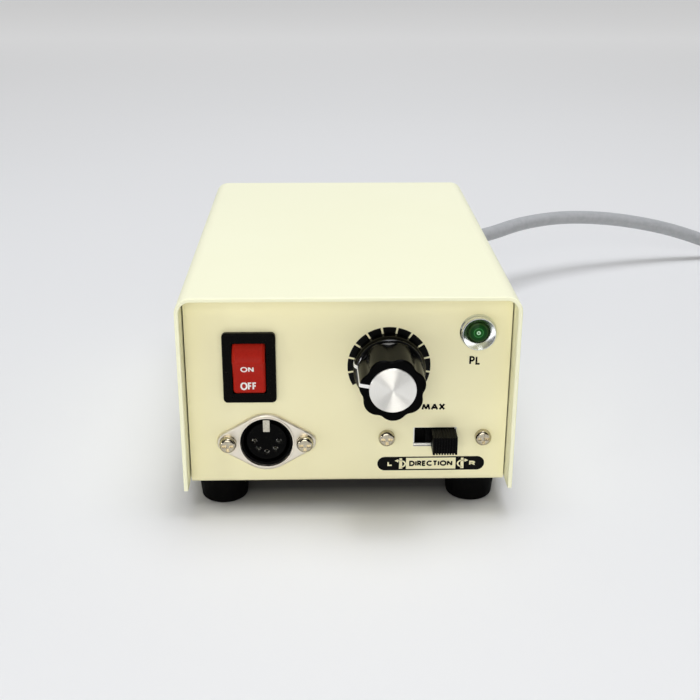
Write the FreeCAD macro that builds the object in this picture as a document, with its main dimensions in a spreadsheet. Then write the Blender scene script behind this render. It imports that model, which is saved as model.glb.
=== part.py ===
import FreeCAD, Part
import math
import os
import re

import Sketcher
from FreeCAD import Placement, Rotation, Vector

# Control box of a dental micromotor. Millimetres and degrees.
# X runs to the right, Y to the back and Z up. The floor is Z = 0.

SIZES = {
    # folded steel case
    "sheet_thick": 1.2,
    "cover_width": 94.8,
    "cover_length": 138,
    "cover_height": 58.5,
    "cover_bend": 4.5,
    "cover_lift": 0.7,
    "hood_depth": 6.5,
    "rim_round": 0.3,
    "chassis_length": 125,
    "chassis_bend": 1.5,
    "panel_gap": 0.4,
    "lip_height": 11,
    "lip_inset": 6,
    "cover_screw_inset": 14,
    "cover_screw_up": 6.5,
    "vent_count": 6,
    "vent_pitch": 7,
    "vent_width": 2.4,
    "vent_length": 22,
    # screws and nuts
    "screw_radius": 1.5,
    "screw_clearance": 0.2,
    "thread_clearance": 0.05,
    "screw_head_radius": 2.4,
    "screw_head_height": 1.9,
    "cross_width": 0.9,
    "cross_span": 3.3,
    "cross_depth": 1.1,
    "nut_flats": 5.5,
    "nut_thick": 2.2,
    "side_screw_length": 6,
    # rubber feet
    "foot_height": 8.5,
    "foot_top_radius": 7.7,
    "foot_bottom_radius": 6.8,
    "foot_spread": 74.1,
    "foot_front_inset": 9.3,
    "foot_recess_depth": 3.5,
    "foot_recess_radius": 3.4,
    "foot_round": 1.1,
    # power rocker switch
    "rocker_x": -27.9,
    "rocker_z": 45.1,
    "bezel_width": 15,
    "bezel_height": 21,
    "bezel_thick": 1.5,
    "bezel_corner": 1.2,
    "bezel_edge": 0.4,
    "switch_body_width": 12.8,
    "switch_body_height": 19.2,
    "switch_body_depth": 14,
    "cutout_clearance": 0.15,
    "rocker_width": 9.2,
    "rocker_clearance": 0.2,
    "rocker_radius": 8.8,
    "rocker_ridge_angle": 55.5,
    "rocker_hollow": 12,
    "rocker_swing": 30,
    "rocker_edge": 1.0,
    "pivot_depth": 4.9,
    "pivot_radius": 1.2,
    "pivot_reach": 1.0,
    "pivot_clearance": 0.05,
    "tab_width": 4.8,
    "tab_thick": 0.8,
    "tab_length": 8,
    "tab_pitch": 6.2,
    # round five-way motor socket
    "socket_x": -23.6,
    "socket_z": 21.8,
    "socket_pitch": 22.2,
    "flange_thick": 1.1,
    "flange_edge": 0.75,
    "flange_radius": 8.9,
    "ear_radius": 3.3,
    "collar_height": 0.2,
    "shell_bore": 7.6,
    "shell_wall": 0.5,
    "shell_depth": 11,
    "core_radius": 5.75,
    "groove_radius": 6.75,
    "groove_depth": 8,
    "core_recess": 1.2,
    "contact_circle": 3.5,
    "contact_hole": 0.85,
    "contact_radius": 0.8,
    "contact_bore": 0.55,
    "contact_setback": 1.0,
    "contact_tail": 4,
    "contact_count": 5,
    "contact_arc": 180,
    "key_width": 1.9,
    "key_inner": 3.0,
    "key_strip": 0.4,
    "key_depth": 7,
    "washer_radius": 2.55,
    "washer_thick": 0.5,
    # speed control and its knob
    "knob_x": 11.5,
    "knob_z": 45.07,
    "can_radius": 8.2,
    "can_depth": 9,
    "bush_radius": 3.5,
    "bush_reach": 3.6,
    "bush_clearance": 0.05,
    "bush_nut_flats": 10,
    "bush_nut_thick": 2,
    "shaft_radius": 3,
    "shaft_reach": 12,
    "knob_gap": 0.8,
    "knob_height": 16.5,
    "skirt_radius": 10.2,
    "skirt_height": 4.6,
    "skirt_round": 2.4,
    "grip_radius": 9.35,
    "grip_taper": 0.2,
    "lobe_count": 7,
    "flute_depth": 0.9,
    "knob_edge": 0.5,
    "knob_hollow_radius": 6.8,
    "knob_hollow_depth": 5.2,
    "knob_bush_radius": 4.6,
    "knob_bush_length": 8,
    "knob_fit": 0.02,
    "cap_radius": 6.4,
    "cap_thick": 0.9,
    "cap_proud": 0.3,
    "cap_edge": 0.2,
    "pointer_width": 1.0,
    "pointer_skin": 0.35,
    "pointer_angle": 170,
    # printed dial scale and direction label
    "print_thick": 0.08,
    "scale_inner": 7.6,
    "scale_outer": 11.75,
    "scale_segments": 11,
    "scale_pitch": 22,
    "scale_tick": 3.0,
    "label_shift": 0.9,
    "label_z": 14.1,
    "label_length": 31.4,
    "label_height": 4.4,
    "label_window": 14.6,
    "label_line": 0.35,
    # pilot lamp
    "lamp_inset": 11.1,
    "lamp_z": 55.4,
    "lamp_flange_radius": 5.15,
    "lamp_flange_thick": 0.9,
    "lamp_ring_radius": 4.8,
    "lamp_ring_reach": 2.7,
    "lamp_lip": 0.15,
    "lamp_cone_depth": 1.8,
    "lens_radius": 2.95,
    "lens_nose_radius": 2.2,
    "lens_sink": 0.7,
    "lens_rise": 0.3,
    "lens_room_rise": 0.5,
    "lens_clearance": 0.05,
    "lamp_tube_radius": 3.9,
    "lamp_tube_depth": 10,
    "lamp_nut_flats": 11,
    "lamp_nut_thick": 2,
    "diode_radius": 2.5,
    "diode_length": 8,
    "lead_radius": 0.3,
    "lead_length": 9,
    "lead_pitch": 2.5,
    # slide switches
    "direction_inset": 22.2,
    "direction_z": 22.7,
    "slide_pitch": 28,
    "window_width": 12.5,
    "window_height": 6.1,
    "frame_length": 35,
    "frame_height": 11,
    "frame_thick": 0.6,
    "housing_length": 23,
    "housing_height": 10,
    "housing_depth": 6.5,
    "housing_wall": 1.2,
    "lever_width": 7.0,
    "lever_height": 5.4,
    "lever_reach": 6.4,
    "lever_clearance": 0.35,
    "lever_neck_inset": 0.5,
    "frame_lip": 0.4,
    "lever_plate_side": 1.5,
    "lever_plate_thick": 1.6,
    "lever_ribs": 9,
    "lever_groove_width": 0.32,
    "lever_groove_depth": 0.3,
    "slide_tab_width": 1.6,
    "slide_tab_thick": 0.5,
    "slide_tab_length": 4,
    "slide_tab_pitch": 5,
    "hand_foot_x": -18,
    "hand_foot_z": 50,
    # fuse holder
    "fuse_x": -32,
    "fuse_z": 27,
    "fuse_body_radius": 6.2,
    "fuse_flange_radius": 8.5,
    "fuse_flange_thick": 2,
    "fuse_body_depth": 20,
    "fuse_bore": 4.2,
    "fuse_nut_flats": 16,
    "fuse_nut_thick": 2.5,
    "fuse_cap_out": 13,
    "fuse_cap_radius": 6.8,
    "fuse_plug_radius": 4.0,
    "fuse_plug_length": 6,
    "fuse_cap_gap": 0.3,
    "fuse_glass_radius": 2.6,
    "fuse_glass_length": 14,
    "fuse_slot_width": 1.4,
    "fuse_slot_depth": 1.5,
    # foot control jack
    "jack_x": -6,
    "jack_z": 27,
    "jack_bore": 3.2,
    "jack_bush_radius": 4.5,
    "jack_bush_reach": 5,
    "jack_body_width": 15,
    "jack_body_height": 14,
    "jack_body_depth": 24,
    "jack_hole_depth": 26,
    "jack_nut_flats": 12,
    "jack_nut_thick": 2.2,
    # strain relief, mains lead and plug
    "cord_radius": 3.15,
    "cord_x": 38,
    "cord_z": 33,
    "relief_flange_radius": 7,
    "relief_flange_thick": 3,
    "relief_neck_radius": 5.8,
    "relief_lock_radius": 6.6,
    "relief_lock_depth": 5,
    "relief_root_radius": 5.5,
    "relief_tip_radius": 4.0,
    "relief_length": 21,
    "relief_rings": 4,
    "relief_ring_pitch": 3.8,
    "relief_ring_width": 1.4,
    "relief_ring_depth": 1.0,
    "coil_x": 230,
    "coil_y": 149.3,
    "coil_outer": 43.5,
    "coil_pitch": 6.8,
    "coil_rise": 6.8,
    "coil_turns": 3,
    "coil_lead_in": 6,
    "tail_drop": 26,
    "tail_bend": 30,
    "tail_run": 6,
    "plug_neck_radius": 4.2,
    "plug_neck_length": 12,
    "plug_body_length": 26,
    "plug_body_width": 26,
    "plug_body_height": 25,
    "plug_rear_width": 13,
    "plug_rear_height": 12,
    "plug_round": 2.5,
    "blade_pitch": 12.7,
    "blade_height": 6.4,
    "blade_thick": 1.5,
    "blade_length": 16,
    "blade_drop": 3.5,
    "earth_pin_radius": 2.4,
    "earth_pin_length": 18,
    "earth_pin_rise": 8.3,
    # transformer
    "transformer_x": -19,
    "transformer_y": 73,
    "core_length": 48,
    "core_height": 40,
    "core_stack": 20,
    "core_leg": 8,
    "winding_clearance": 0.2,
    "winding_air": 0.6,
    "strap_thick": 1,
    "strap_foot": 9,
    "strap_screw_length": 5,
    # circuit board and its parts
    "board_side_gap": 2.6,
    "board_y": 26,
    "board_width": 36,
    "board_length": 70,
    "board_thick": 1.6,
    "board_rise": 6,
    "post_radius": 2.5,
    "post_inset": 3.5,
    "board_screw_length": 5,
    "capacitor_radius": 8,
    "capacitor_height": 25,
    "small_capacitor_radius": 4,
    "small_capacitor_height": 12,
    "relay_width": 15.5,
    "relay_length": 19,
    "relay_height": 15,
    "rectifier_length": 20,
    "rectifier_thick": 5,
    "rectifier_height": 15,
    "part_gap": 2,
    "sink_length": 28,
    "sink_thick": 2,
    "sink_height": 26,
    "sink_fins": 6,
    "sink_fin_reach": 8,
    "transistor_width": 10.2,
    "transistor_thick": 4.5,
    "transistor_height": 15,
    "leg_height": 4,
    "leg_thick": 0.7,
    # earth stud
    "stud_x": 30,
    "stud_y": 112,
    "stud_radius": 2,
    "stud_height": 11,
    "stud_flats": 7,
    "stud_nut_thick": 3,
}

# Places that follow from the sizes above.
PLACES = {
    "knob_reach": "=Sizes.knob_gap + Sizes.knob_height + Sizes.cap_proud",
    "panel_y": "=(knob_reach - Sizes.chassis_length - Sizes.fuse_cap_out) / 2",
    "rear_y": "=panel_y + Sizes.chassis_length",
    "cover_front": "=panel_y - Sizes.hood_depth",
    "base_z": "=Sizes.foot_height",
    "floor_z": "=base_z + Sizes.sheet_thick",
    "cover_bottom": "=Sizes.foot_height + Sizes.cover_lift",
    "cover_top": "=cover_bottom + Sizes.cover_height",
    "panel_top": "=cover_top - Sizes.sheet_thick - Sizes.panel_gap",
    "chassis_width": "=Sizes.cover_width - 2 * (Sizes.sheet_thick + Sizes.panel_gap)",
    "screw_hole": "=Sizes.screw_radius + Sizes.screw_clearance",
    "thread_hole": "=Sizes.screw_radius + Sizes.thread_clearance",
    "opening_width": "=Sizes.rocker_width + 2 * Sizes.rocker_clearance",
    "pivot_y": "=panel_y - Sizes.bezel_thick + Sizes.pivot_depth",
    "board_z": "=floor_z + Sizes.board_rise",
    "board_top": "=board_z + Sizes.board_thick",
    "shell_radius": "=Sizes.shell_bore + Sizes.shell_wall",
    "lobe_radius": "=Sizes.grip_radius * 0.45",
    "lever_travel": "=Sizes.window_width - Sizes.lever_width - 2 * Sizes.lever_clearance",
    "relief_end": "=rear_y + Sizes.relief_length",
    "lamp_x": "=Sizes.cover_width / 2 - Sizes.lamp_inset",
    "direction_x": "=Sizes.cover_width / 2 - Sizes.direction_inset",
    "label_x": "=direction_x - Sizes.label_shift",
    "core_window": "=(Sizes.core_length - 4 * Sizes.core_leg) / 2",
    "winding_thick": "=core_window - Sizes.winding_clearance - Sizes.winding_air",
    "board_right": "=chassis_width / 2 - Sizes.sheet_thick - Sizes.board_side_gap",
    "board_x": "=board_right - Sizes.board_width",
    "board_front": "=panel_y + Sizes.board_y",
}

# Chosen points of the free lead, first from the tip of its strain relief and then from its coil.
LEAD_FROM_RELIEF = [
    (0, 9.2, 0),
    (4, 20.7, -0.8),
    (13.5, 32.7, -2.2),
    (30.6, 47, -3.6),
    (49.1, 67.2, -3.4),
    (73.7, 81.2, -4),
    (103, 92.8, -8.5),
]
LEAD_TO_COIL = [
    (-51, -5.3, 13.2),
    (-18, 0, 0),
]

ALONG_Y = Rotation(Vector(1, 0, 0), -90)
ALONG_Y_FLATS_ASIDE = ALONG_Y.multiply(Rotation(Vector(0, 0, 1), 30))
TOWARDS_FRONT = Rotation(Vector(1, 0, 0), 90)
ALONG_X = Rotation(Vector(0, 1, 0), 90)
AGAINST_X = Rotation(Vector(0, 1, 0), -90)
UPWARDS = Rotation()
DOWNWARDS = Rotation(Vector(1, 0, 0), 180)
PLUG_LYING = Rotation(Vector(0, -1, 0), Vector(0, 0, 1), Vector(-1, 0, 0))

DOC = FreeCAD.newDocument("micromotor_control_box")
NODES = {}


def fill_sheet(name, cells):
    sheet = DOC.addObject("Spreadsheet::Sheet", name)
    for row, (alias, content) in enumerate(cells.items(), 1):
        sheet.set(f"A{row}", alias)
        sheet.set(f"B{row}", str(content))
        sheet.setAlias(f"B{row}", alias)
    DOC.recompute()
    return sheet


fill_sheet("Sizes", SIZES)
PLACE_SHEET = fill_sheet("Places", PLACES)


def bound(text):
    """Write each named size in an expression as its cell in a sheet."""

    def cell(match):
        word = match.group(0)
        if word in SIZES:
            return "Sizes." + word
        if word in PLACES:
            return "Places." + word
        return word

    return re.sub(r"[a-z][a-z_]*", cell, str(text))


PROBE = DOC.addObject("App::FeaturePython", "Probe")


def number(text):
    return float(PROBE.evalExpression(bound(text)))


def tie(item, **texts):
    for name, text in texts.items():
        item.setExpression(name, bound(text))
    return item


def put(item, x, y, z, turn=UPWARDS):
    item.Placement = Placement(Vector(), turn)
    for axis, text in zip("xyz", (x, y, z)):
        item.setExpression(f"Placement.Base.{axis}", bound(text))
    return item


def node(name, item):
    item.Label = name
    NODES[name] = item
    return item


# Plain shapes and the ways they are joined.


def block(name, x, y, z, wide, deep, high):
    """A box from its lowest corner."""
    item = tie(DOC.addObject("Part::Box", name), Length=wide, Width=deep, Height=high)
    return put(item, x, y, z)


def plate(name, x, y, z, wide, deep, high):
    """A box centred on x and z that starts at y and runs backwards."""
    return block(name, f"{x} - ({wide}) / 2", y, f"{z} - ({high}) / 2", wide, deep, high)


def rod(name, x, y, z, radius, length, turn=ALONG_Y):
    item = tie(DOC.addObject("Part::Cylinder", name), Radius=radius, Height=length)
    return put(item, x, y, z, turn)


def cone(name, x, y, z, start_radius, end_radius, length, turn=ALONG_Y):
    item = DOC.addObject("Part::Cone", name)
    tie(item, Radius1=start_radius, Radius2=end_radius, Height=length)
    return put(item, x, y, z, turn)


def hexagon(name, x, y, z, flats, thick, turn=ALONG_Y):
    item = DOC.addObject("Part::Prism", name)
    item.Polygon = 6
    tie(item, Circumradius=f"({flats}) / (2 * cos(30))", Height=thick)
    return put(item, x, y, z, turn)


def join(name, *parts):
    item = DOC.addObject("Part::MultiFuse", name)
    item.Shapes = list(parts)
    return item


def group(name, parts):
    item = DOC.addObject("Part::Compound", name)
    item.Links = list(parts)
    return item


def cut(name, base, *tools):
    item = DOC.addObject("Part::Cut", name)
    item.Base = base
    item.Tool = tools[0] if len(tools) == 1 else group(name + "_tools", tools)
    DOC.recompute()
    if item.Shape.Volume > base.Shape.Volume - 1e-4:
        raise RuntimeError(name + " cuts nothing")
    return item


def common(name, first, second):
    item = DOC.addObject("Part::Common", name)
    item.Base = first
    item.Tool = second
    return item


def ring(name, x, y, z, outer, inner, length, turn=ALONG_Y):
    body = rod(name + "_disc", x, y, z, outer, length, turn)
    hole = rod(name + "_hole", x, y, z, inner, length, turn)
    return cut(name, body, hole)


def nut(name, x, y, z, flats, thick, hole, turn=ALONG_Y):
    body = hexagon(name + "_hexagon", x, y, z, flats, thick, turn)
    return cut(name, body, rod(name + "_thread", x, y, z, hole, thick, turn))


def soften(name, base, radius, wanted, kind="Part::Fillet"):
    """Round, or bevel, the edges for which wanted is true."""
    DOC.recompute()
    item = DOC.addObject(kind, name)
    item.Base = base
    size = number(radius)
    edges = [i for i, edge in enumerate(base.Shape.Edges, 1) if wanted(edge)]
    if not edges:
        raise RuntimeError(name + " finds no edge")
    item.Edges = [(i, size, size) for i in edges]
    DOC.recompute()
    return item


def runs_along(edge, axis):
    """Whether a straight edge lies along an axis."""
    if not isinstance(edge.Curve, Part.Line):
        return False
    return abs(abs(edge.tangentAt(edge.FirstParameter).dot(axis)) - 1) < 1e-6


def all_near(edge, axis, place):
    """Whether every point of an edge has one coordinate."""
    low, high = edge.BoundBox, edge.BoundBox
    ends = (getattr(low, axis + "Min"), getattr(high, axis + "Max"))
    return max(abs(end - place) for end in ends) < 1e-4


def pan_screw(name, x, y, z, turn, length):
    """A screw whose head stands outwards along the turned Z and whose shank runs in."""
    head = rod(name + "_blank", "0", "0", "0", "screw_head_radius", "screw_head_height", UPWARDS)
    DOC.recompute()
    top = number("screw_head_height")
    domed = soften(
        name + "_dome", head, "screw_head_height * 0.55", lambda edge: all_near(edge, "Z", top)
    )
    sink = "screw_head_height - cross_depth"
    span, slot = "cross_span", "cross_width"
    first = block(name + "_slot", f"-{span} / 2", f"-{slot} / 2", sink, span, slot, "cross_depth")
    other = block(name + "_cross", f"-{slot} / 2", f"-{span} / 2", sink, slot, span, "cross_depth")
    driven = cut(name + "_head", domed, first, other)
    shank = rod(name + "_shank", "0", "0", f"-({length})", "screw_radius", length, UPWARDS)
    return put(join(name, driven, shank), x, y, z, turn)


# Sketched bodies.


def new_body(name):
    body = DOC.addObject("PartDesign::Body", name)
    DOC.recompute()
    return body


def sketch_on(body, role, name, offset="0"):
    plane = next(item for item in body.Origin.OriginFeatures if item.Role == role)
    sketch = body.newObject("Sketcher::SketchObject", name)
    sketch.AttachmentSupport = [(plane, "")]
    sketch.MapMode = "FlatFace"
    sketch.setExpression("AttachmentOffset.Base.z", bound(offset))
    return sketch


def dimension(sketch, kind, item, end, text):
    """Hold one point of a sketch at a distance from its origin."""
    place = sketch.addConstraint(Sketcher.Constraint(kind, -1, 1, item, end, number(text)))
    sketch.setExpression(f"Constraints[{place}]", bound(text))


def polygon(sketch, points):
    """A closed outline whose corners are each dimensioned from the origin."""
    corners = [Vector(number(x), number(y), 0) for x, y in points]
    lines = []
    for start, end in zip(corners, corners[1:] + corners[:1]):
        lines.append(sketch.addGeometry(Part.LineSegment(start, end), False))
    for line, after in zip(lines, lines[1:] + lines[:1]):
        sketch.addConstraint(Sketcher.Constraint("Coincident", line, 2, after, 1))
    for line, (x, y) in zip(lines, points):
        dimension(sketch, "DistanceX", line, 1, x)
        dimension(sketch, "DistanceY", line, 1, y)


def rectangle(sketch, x, y, wide, high):
    left, right = f"{x} - ({wide}) / 2", f"{x} + ({wide}) / 2"
    low, top = f"{y} - ({high}) / 2", f"{y} + ({high}) / 2"
    polygon(sketch, [(left, low), (right, low), (right, top), (left, top)])


def circle(sketch, x, y, radius):
    shape = Part.Circle(Vector(number(x), number(y), 0), Vector(0, 0, 1), number(radius))
    item = sketch.addGeometry(shape, False)
    dimension(sketch, "DistanceX", item, 3, x)
    dimension(sketch, "DistanceY", item, 3, y)
    size = sketch.addConstraint(Sketcher.Constraint("Radius", item, number(radius)))
    sketch.setExpression(f"Constraints[{size}]", bound(radius))


def pad(body, sketch, name, length):
    feature = body.newObject("PartDesign::Pad", name)
    feature.Profile = sketch
    tie(feature, Length=length)
    DOC.recompute()
    return feature


def pocket(body, sketch, name, length):
    before = body.Shape.Volume
    feature = body.newObject("PartDesign::Pocket", name)
    feature.Profile = sketch
    tie(feature, Length=length)
    DOC.recompute()
    if body.Shape.Volume > before - 1e-4:
        raise RuntimeError(name + " cuts nothing")
    return feature


def revolve(body, sketch, name):
    """Turn a profile once round the sketch's own vertical axis."""
    feature = body.newObject("PartDesign::Revolution", name)
    feature.Profile = sketch
    feature.ReferenceAxis = (sketch, ["V_Axis"])
    feature.Angle = 360
    DOC.recompute()
    return feature


def round_body(body, name, radius, wanted, kind="PartDesign::Fillet"):
    """Round, or bevel, the body's edges for which wanted is true."""
    DOC.recompute()
    base = body.Tip
    names = [f"Edge{i}" for i, edge in enumerate(base.Shape.Edges, 1) if wanted(edge)]
    if not names:
        raise RuntimeError(name + " finds no edge")
    feature = body.newObject(kind, name)
    feature.Base = (base, names)
    tie(feature, **{"Size" if kind.endswith("Chamfer") else "Radius": radius})
    DOC.recompute()
    return feature


# The folded steel case.


def chassis():
    """Front panel, base and rear panel folded from one sheet, with side lips for the cover."""
    body = new_body("chassis_body")
    side = sketch_on(body, "YZ_Plane", "chassis_side", "-chassis_width / 2")
    polygon(
        side,
        [
            ("panel_y", "panel_top"),
            ("panel_y", "base_z"),
            ("rear_y", "base_z"),
            ("rear_y", "panel_top"),
            ("rear_y - sheet_thick", "panel_top"),
            ("rear_y - sheet_thick", "floor_z"),
            ("panel_y + sheet_thick", "floor_z"),
            ("panel_y + sheet_thick", "panel_top"),
        ],
    )
    pad(body, side, "chassis_fold", "chassis_width")
    base, floor = number("base_z"), number("floor_z")
    across = Vector(1, 0, 0)
    round_body(
        body,
        "outer_bends",
        "chassis_bend",
        lambda edge: runs_along(edge, across) and all_near(edge, "Z", base),
    )
    round_body(
        body,
        "inner_bends",
        "chassis_bend - sheet_thick",
        lambda edge: runs_along(edge, across) and all_near(edge, "Z", floor),
    )
    top = number("panel_top")
    along = Vector(0, 1, 0)
    round_body(
        body,
        "panel_corners",
        "cover_bend - sheet_thick - panel_gap",
        lambda edge: runs_along(edge, along) and all_near(edge, "Z", top),
    )
    lips = sketch_on(body, "XY_Plane", "side_lips", "floor_z - sheet_thick / 2")
    middle = "(panel_y + rear_y) / 2"
    lip_x = "(chassis_width - sheet_thick) / 2"
    for sign in ("", "-"):
        rectangle(lips, f"{sign}{lip_x}", middle, "sheet_thick", "chassis_length - 2 * lip_inset")
    pad(body, lips, "side_lips_pad", "lip_height - sheet_thick / 2")
    panel_holes(body)
    rear_holes(body)
    base_holes(body)
    lip_holes(body)
    node("chassis", body)


def panel_holes(body):
    """Openings of the front panel."""
    front = sketch_on(body, "XZ_Plane", "panel_openings", "-panel_y")
    rectangle(
        front,
        "rocker_x",
        "rocker_z",
        "switch_body_width + 2 * cutout_clearance",
        "switch_body_height + 2 * cutout_clearance",
    )
    circle(front, "socket_x", "socket_z", "shell_radius + cutout_clearance")
    for sign in ("-", "+"):
        circle(front, f"socket_x {sign} socket_pitch / 2", "socket_z", "screw_hole")
        circle(front, f"direction_x {sign} slide_pitch / 2", "direction_z", "screw_hole")
    circle(front, "knob_x", "knob_z", "bush_radius + cutout_clearance")
    circle(front, "lamp_x", "lamp_z", "lamp_tube_radius + cutout_clearance")
    rectangle(front, "direction_x", "direction_z", "window_width", "window_height")
    pocket(body, front, "panel_cuts", "2 * sheet_thick")


def rear_holes(body):
    """Openings of the rear panel."""
    back = sketch_on(body, "XZ_Plane", "rear_openings", "-(rear_y - 2 * sheet_thick)")
    circle(back, "fuse_x", "fuse_z", "fuse_body_radius + cutout_clearance")
    circle(back, "jack_x", "jack_z", "jack_bush_radius + cutout_clearance")
    circle(back, "cord_x", "cord_z", "relief_neck_radius + cutout_clearance")
    rectangle(back, "hand_foot_x", "hand_foot_z", "window_width", "window_height")
    for sign in ("-", "+"):
        circle(back, f"hand_foot_x {sign} slide_pitch / 2", "hand_foot_z", "screw_hole")
    pocket(body, back, "rear_cuts", "3 * sheet_thick")


def foot_places():
    """The four feet, as x and y texts."""
    for x in ("-foot_spread / 2", "foot_spread / 2"):
        for y in ("panel_y + foot_front_inset", "rear_y - foot_front_inset"):
            yield x, y


def strap_screw_places():
    for sign in ("-", "+"):
        reach = "core_length / 2 + strap_thick + strap_foot / 2"
        yield "transformer_x", f"panel_y + transformer_y {sign} ({reach})"


def post_places():
    for x in ("board_x + post_inset", "board_x + board_width - post_inset"):
        for y in ("board_y + post_inset", "board_y + board_length - post_inset"):
            yield x, f"panel_y + {y}"


def base_holes(body):
    """Screw holes and ventilation slots of the base."""
    under = sketch_on(body, "XY_Plane", "base_openings", "floor_z")
    for x, y in list(foot_places()) + list(strap_screw_places()) + list(post_places()):
        circle(under, x, y, "thread_hole")
    circle(under, "stud_x", "panel_y + stud_y", "stud_radius + thread_clearance")
    for place in range(int(SIZES["vent_count"])):
        step = f"({place} - (vent_count - 1) / 2) * vent_pitch"
        rectangle(
            under,
            "board_x + board_width / 2",
            f"panel_y + board_y + board_length / 2 + {step}",
            "vent_length",
            "vent_width",
        )
    pocket(body, under, "base_cuts", "2 * sheet_thick")


def lip_holes(body):
    """Threaded holes for the cover screws in both side lips."""
    sides = sketch_on(body, "YZ_Plane", "lip_openings", "cover_width / 2")
    for y in ("panel_y + cover_screw_inset", "rear_y - cover_screw_inset"):
        circle(sides, y, "base_z + cover_screw_up", "thread_hole")
    pocket(body, sides, "lip_cuts", "cover_width")


def cover():
    """The inverted U of sheet steel that overhangs both panels."""
    body = new_body("cover_body")
    section = sketch_on(body, "XZ_Plane", "cover_section", "-(cover_front + cover_length)")
    inner = "(cover_width / 2 - sheet_thick)"
    polygon(
        section,
        [
            ("-cover_width / 2", "cover_bottom"),
            (f"-{inner}", "cover_bottom"),
            (f"-{inner}", "cover_top - sheet_thick"),
            (inner, "cover_top - sheet_thick"),
            (inner, "cover_bottom"),
            ("cover_width / 2", "cover_bottom"),
            ("cover_width / 2", "cover_top"),
            ("-cover_width / 2", "cover_top"),
        ],
    )
    pad(body, section, "cover_fold", "cover_length")
    along = Vector(0, 1, 0)
    outside, inside = number("cover_top"), number("cover_top - sheet_thick")
    round_body(
        body,
        "cover_outer_bends",
        "cover_bend",
        lambda edge: runs_along(edge, along) and all_near(edge, "Z", outside),
    )
    round_body(
        body,
        "cover_inner_bends",
        "cover_bend - sheet_thick",
        lambda edge: runs_along(edge, along) and all_near(edge, "Z", inside),
    )
    sides = sketch_on(body, "YZ_Plane", "cover_openings", "cover_width")
    for y in ("panel_y + cover_screw_inset", "rear_y - cover_screw_inset"):
        circle(sides, y, "base_z + cover_screw_up", "screw_hole")
    pocket(body, sides, "cover_cuts", "2 * cover_width")
    ends = (number("cover_front"), number("cover_front + cover_length"))
    low = number("cover_bottom")
    round_body(
        body,
        "rim",
        "rim_round",
        lambda edge: any(all_near(edge, "Y", end) for end in ends) and not all_near(edge, "Z", low),
    )
    node("cover", body)


def cover_screws():
    screws = []
    for side, sign, turn in (("right", "", ALONG_X), ("left", "-", AGAINST_X)):
        for end, y in (
            ("front", "panel_y + cover_screw_inset"),
            ("rear", "rear_y - cover_screw_inset"),
        ):
            name = f"cover_screw_{side}_{end}"
            x = f"{sign}cover_width / 2"
            screws.append(
                pan_screw(name, x, y, "base_z + cover_screw_up", turn, "side_screw_length")
            )
    node("cover_screws", group("cover_screw_set", screws))


def rubber_feet():
    """Round tapered feet, each recessed for the screw that holds it."""
    feet, screws = [], []
    for place, (x, y) in enumerate(foot_places(), 1):
        name = f"foot_{place}"
        solid = cone(
            name + "_cone", x, y, "0", "foot_bottom_radius", "foot_top_radius", "foot_height", UPWARDS
        )
        rounded = soften(name + "_round", solid, "foot_round", lambda edge: all_near(edge, "Z", 0))
        recess = rod(
            name + "_recess", x, y, "0", "foot_recess_radius", "foot_recess_depth", UPWARDS
        )
        hole = rod(name + "_hole", x, y, "0", "screw_hole", "foot_height", UPWARDS)
        feet.append(cut(name, rounded, recess, hole))
        length = "foot_height - foot_recess_depth + sheet_thick + nut_thick"
        screws.append(
            pan_screw(name + "_screw", x, y, "foot_recess_depth", DOWNWARDS, length)
        )
    node("rubber_feet", group("foot_set", feet))
    node("foot_screws", group("foot_screw_set", screws))


# The power switch.


def power_switch():
    """Bezel and hollow body of the rocker switch, snapped into the front panel."""
    front = "panel_y - bezel_thick"
    flange = plate(
        "bezel_plate", "rocker_x", front, "rocker_z", "bezel_width", "bezel_thick", "bezel_height"
    )
    upright = Vector(0, 1, 0)
    cornered = soften("bezel_corners", flange, "bezel_corner", lambda edge: runs_along(edge, upright))
    face = number(front)
    edged = soften("bezel_edges", cornered, "bezel_edge", lambda edge: all_near(edge, "Y", face))
    block_behind = plate(
        "switch_block",
        "rocker_x",
        "panel_y",
        "rocker_z",
        "switch_body_width",
        "switch_body_depth",
        "switch_body_height",
    )
    solid = join("switch_solid", edged, block_behind)
    room = rod(
        "rocker_room",
        "rocker_x - opening_width / 2",
        "pivot_y",
        "rocker_z",
        "rocker_radius + rocker_clearance",
        "opening_width",
        ALONG_X,
    )
    pins = rod(
        "pivot_holes",
        "rocker_x - opening_width / 2 - pivot_reach - rocker_clearance",
        "pivot_y",
        "rocker_z",
        "pivot_radius + pivot_clearance",
        "opening_width + 2 * (pivot_reach + rocker_clearance)",
        ALONG_X,
    )
    node("power_switch_body", cut("switch_hollow", solid, room, pins))


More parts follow.
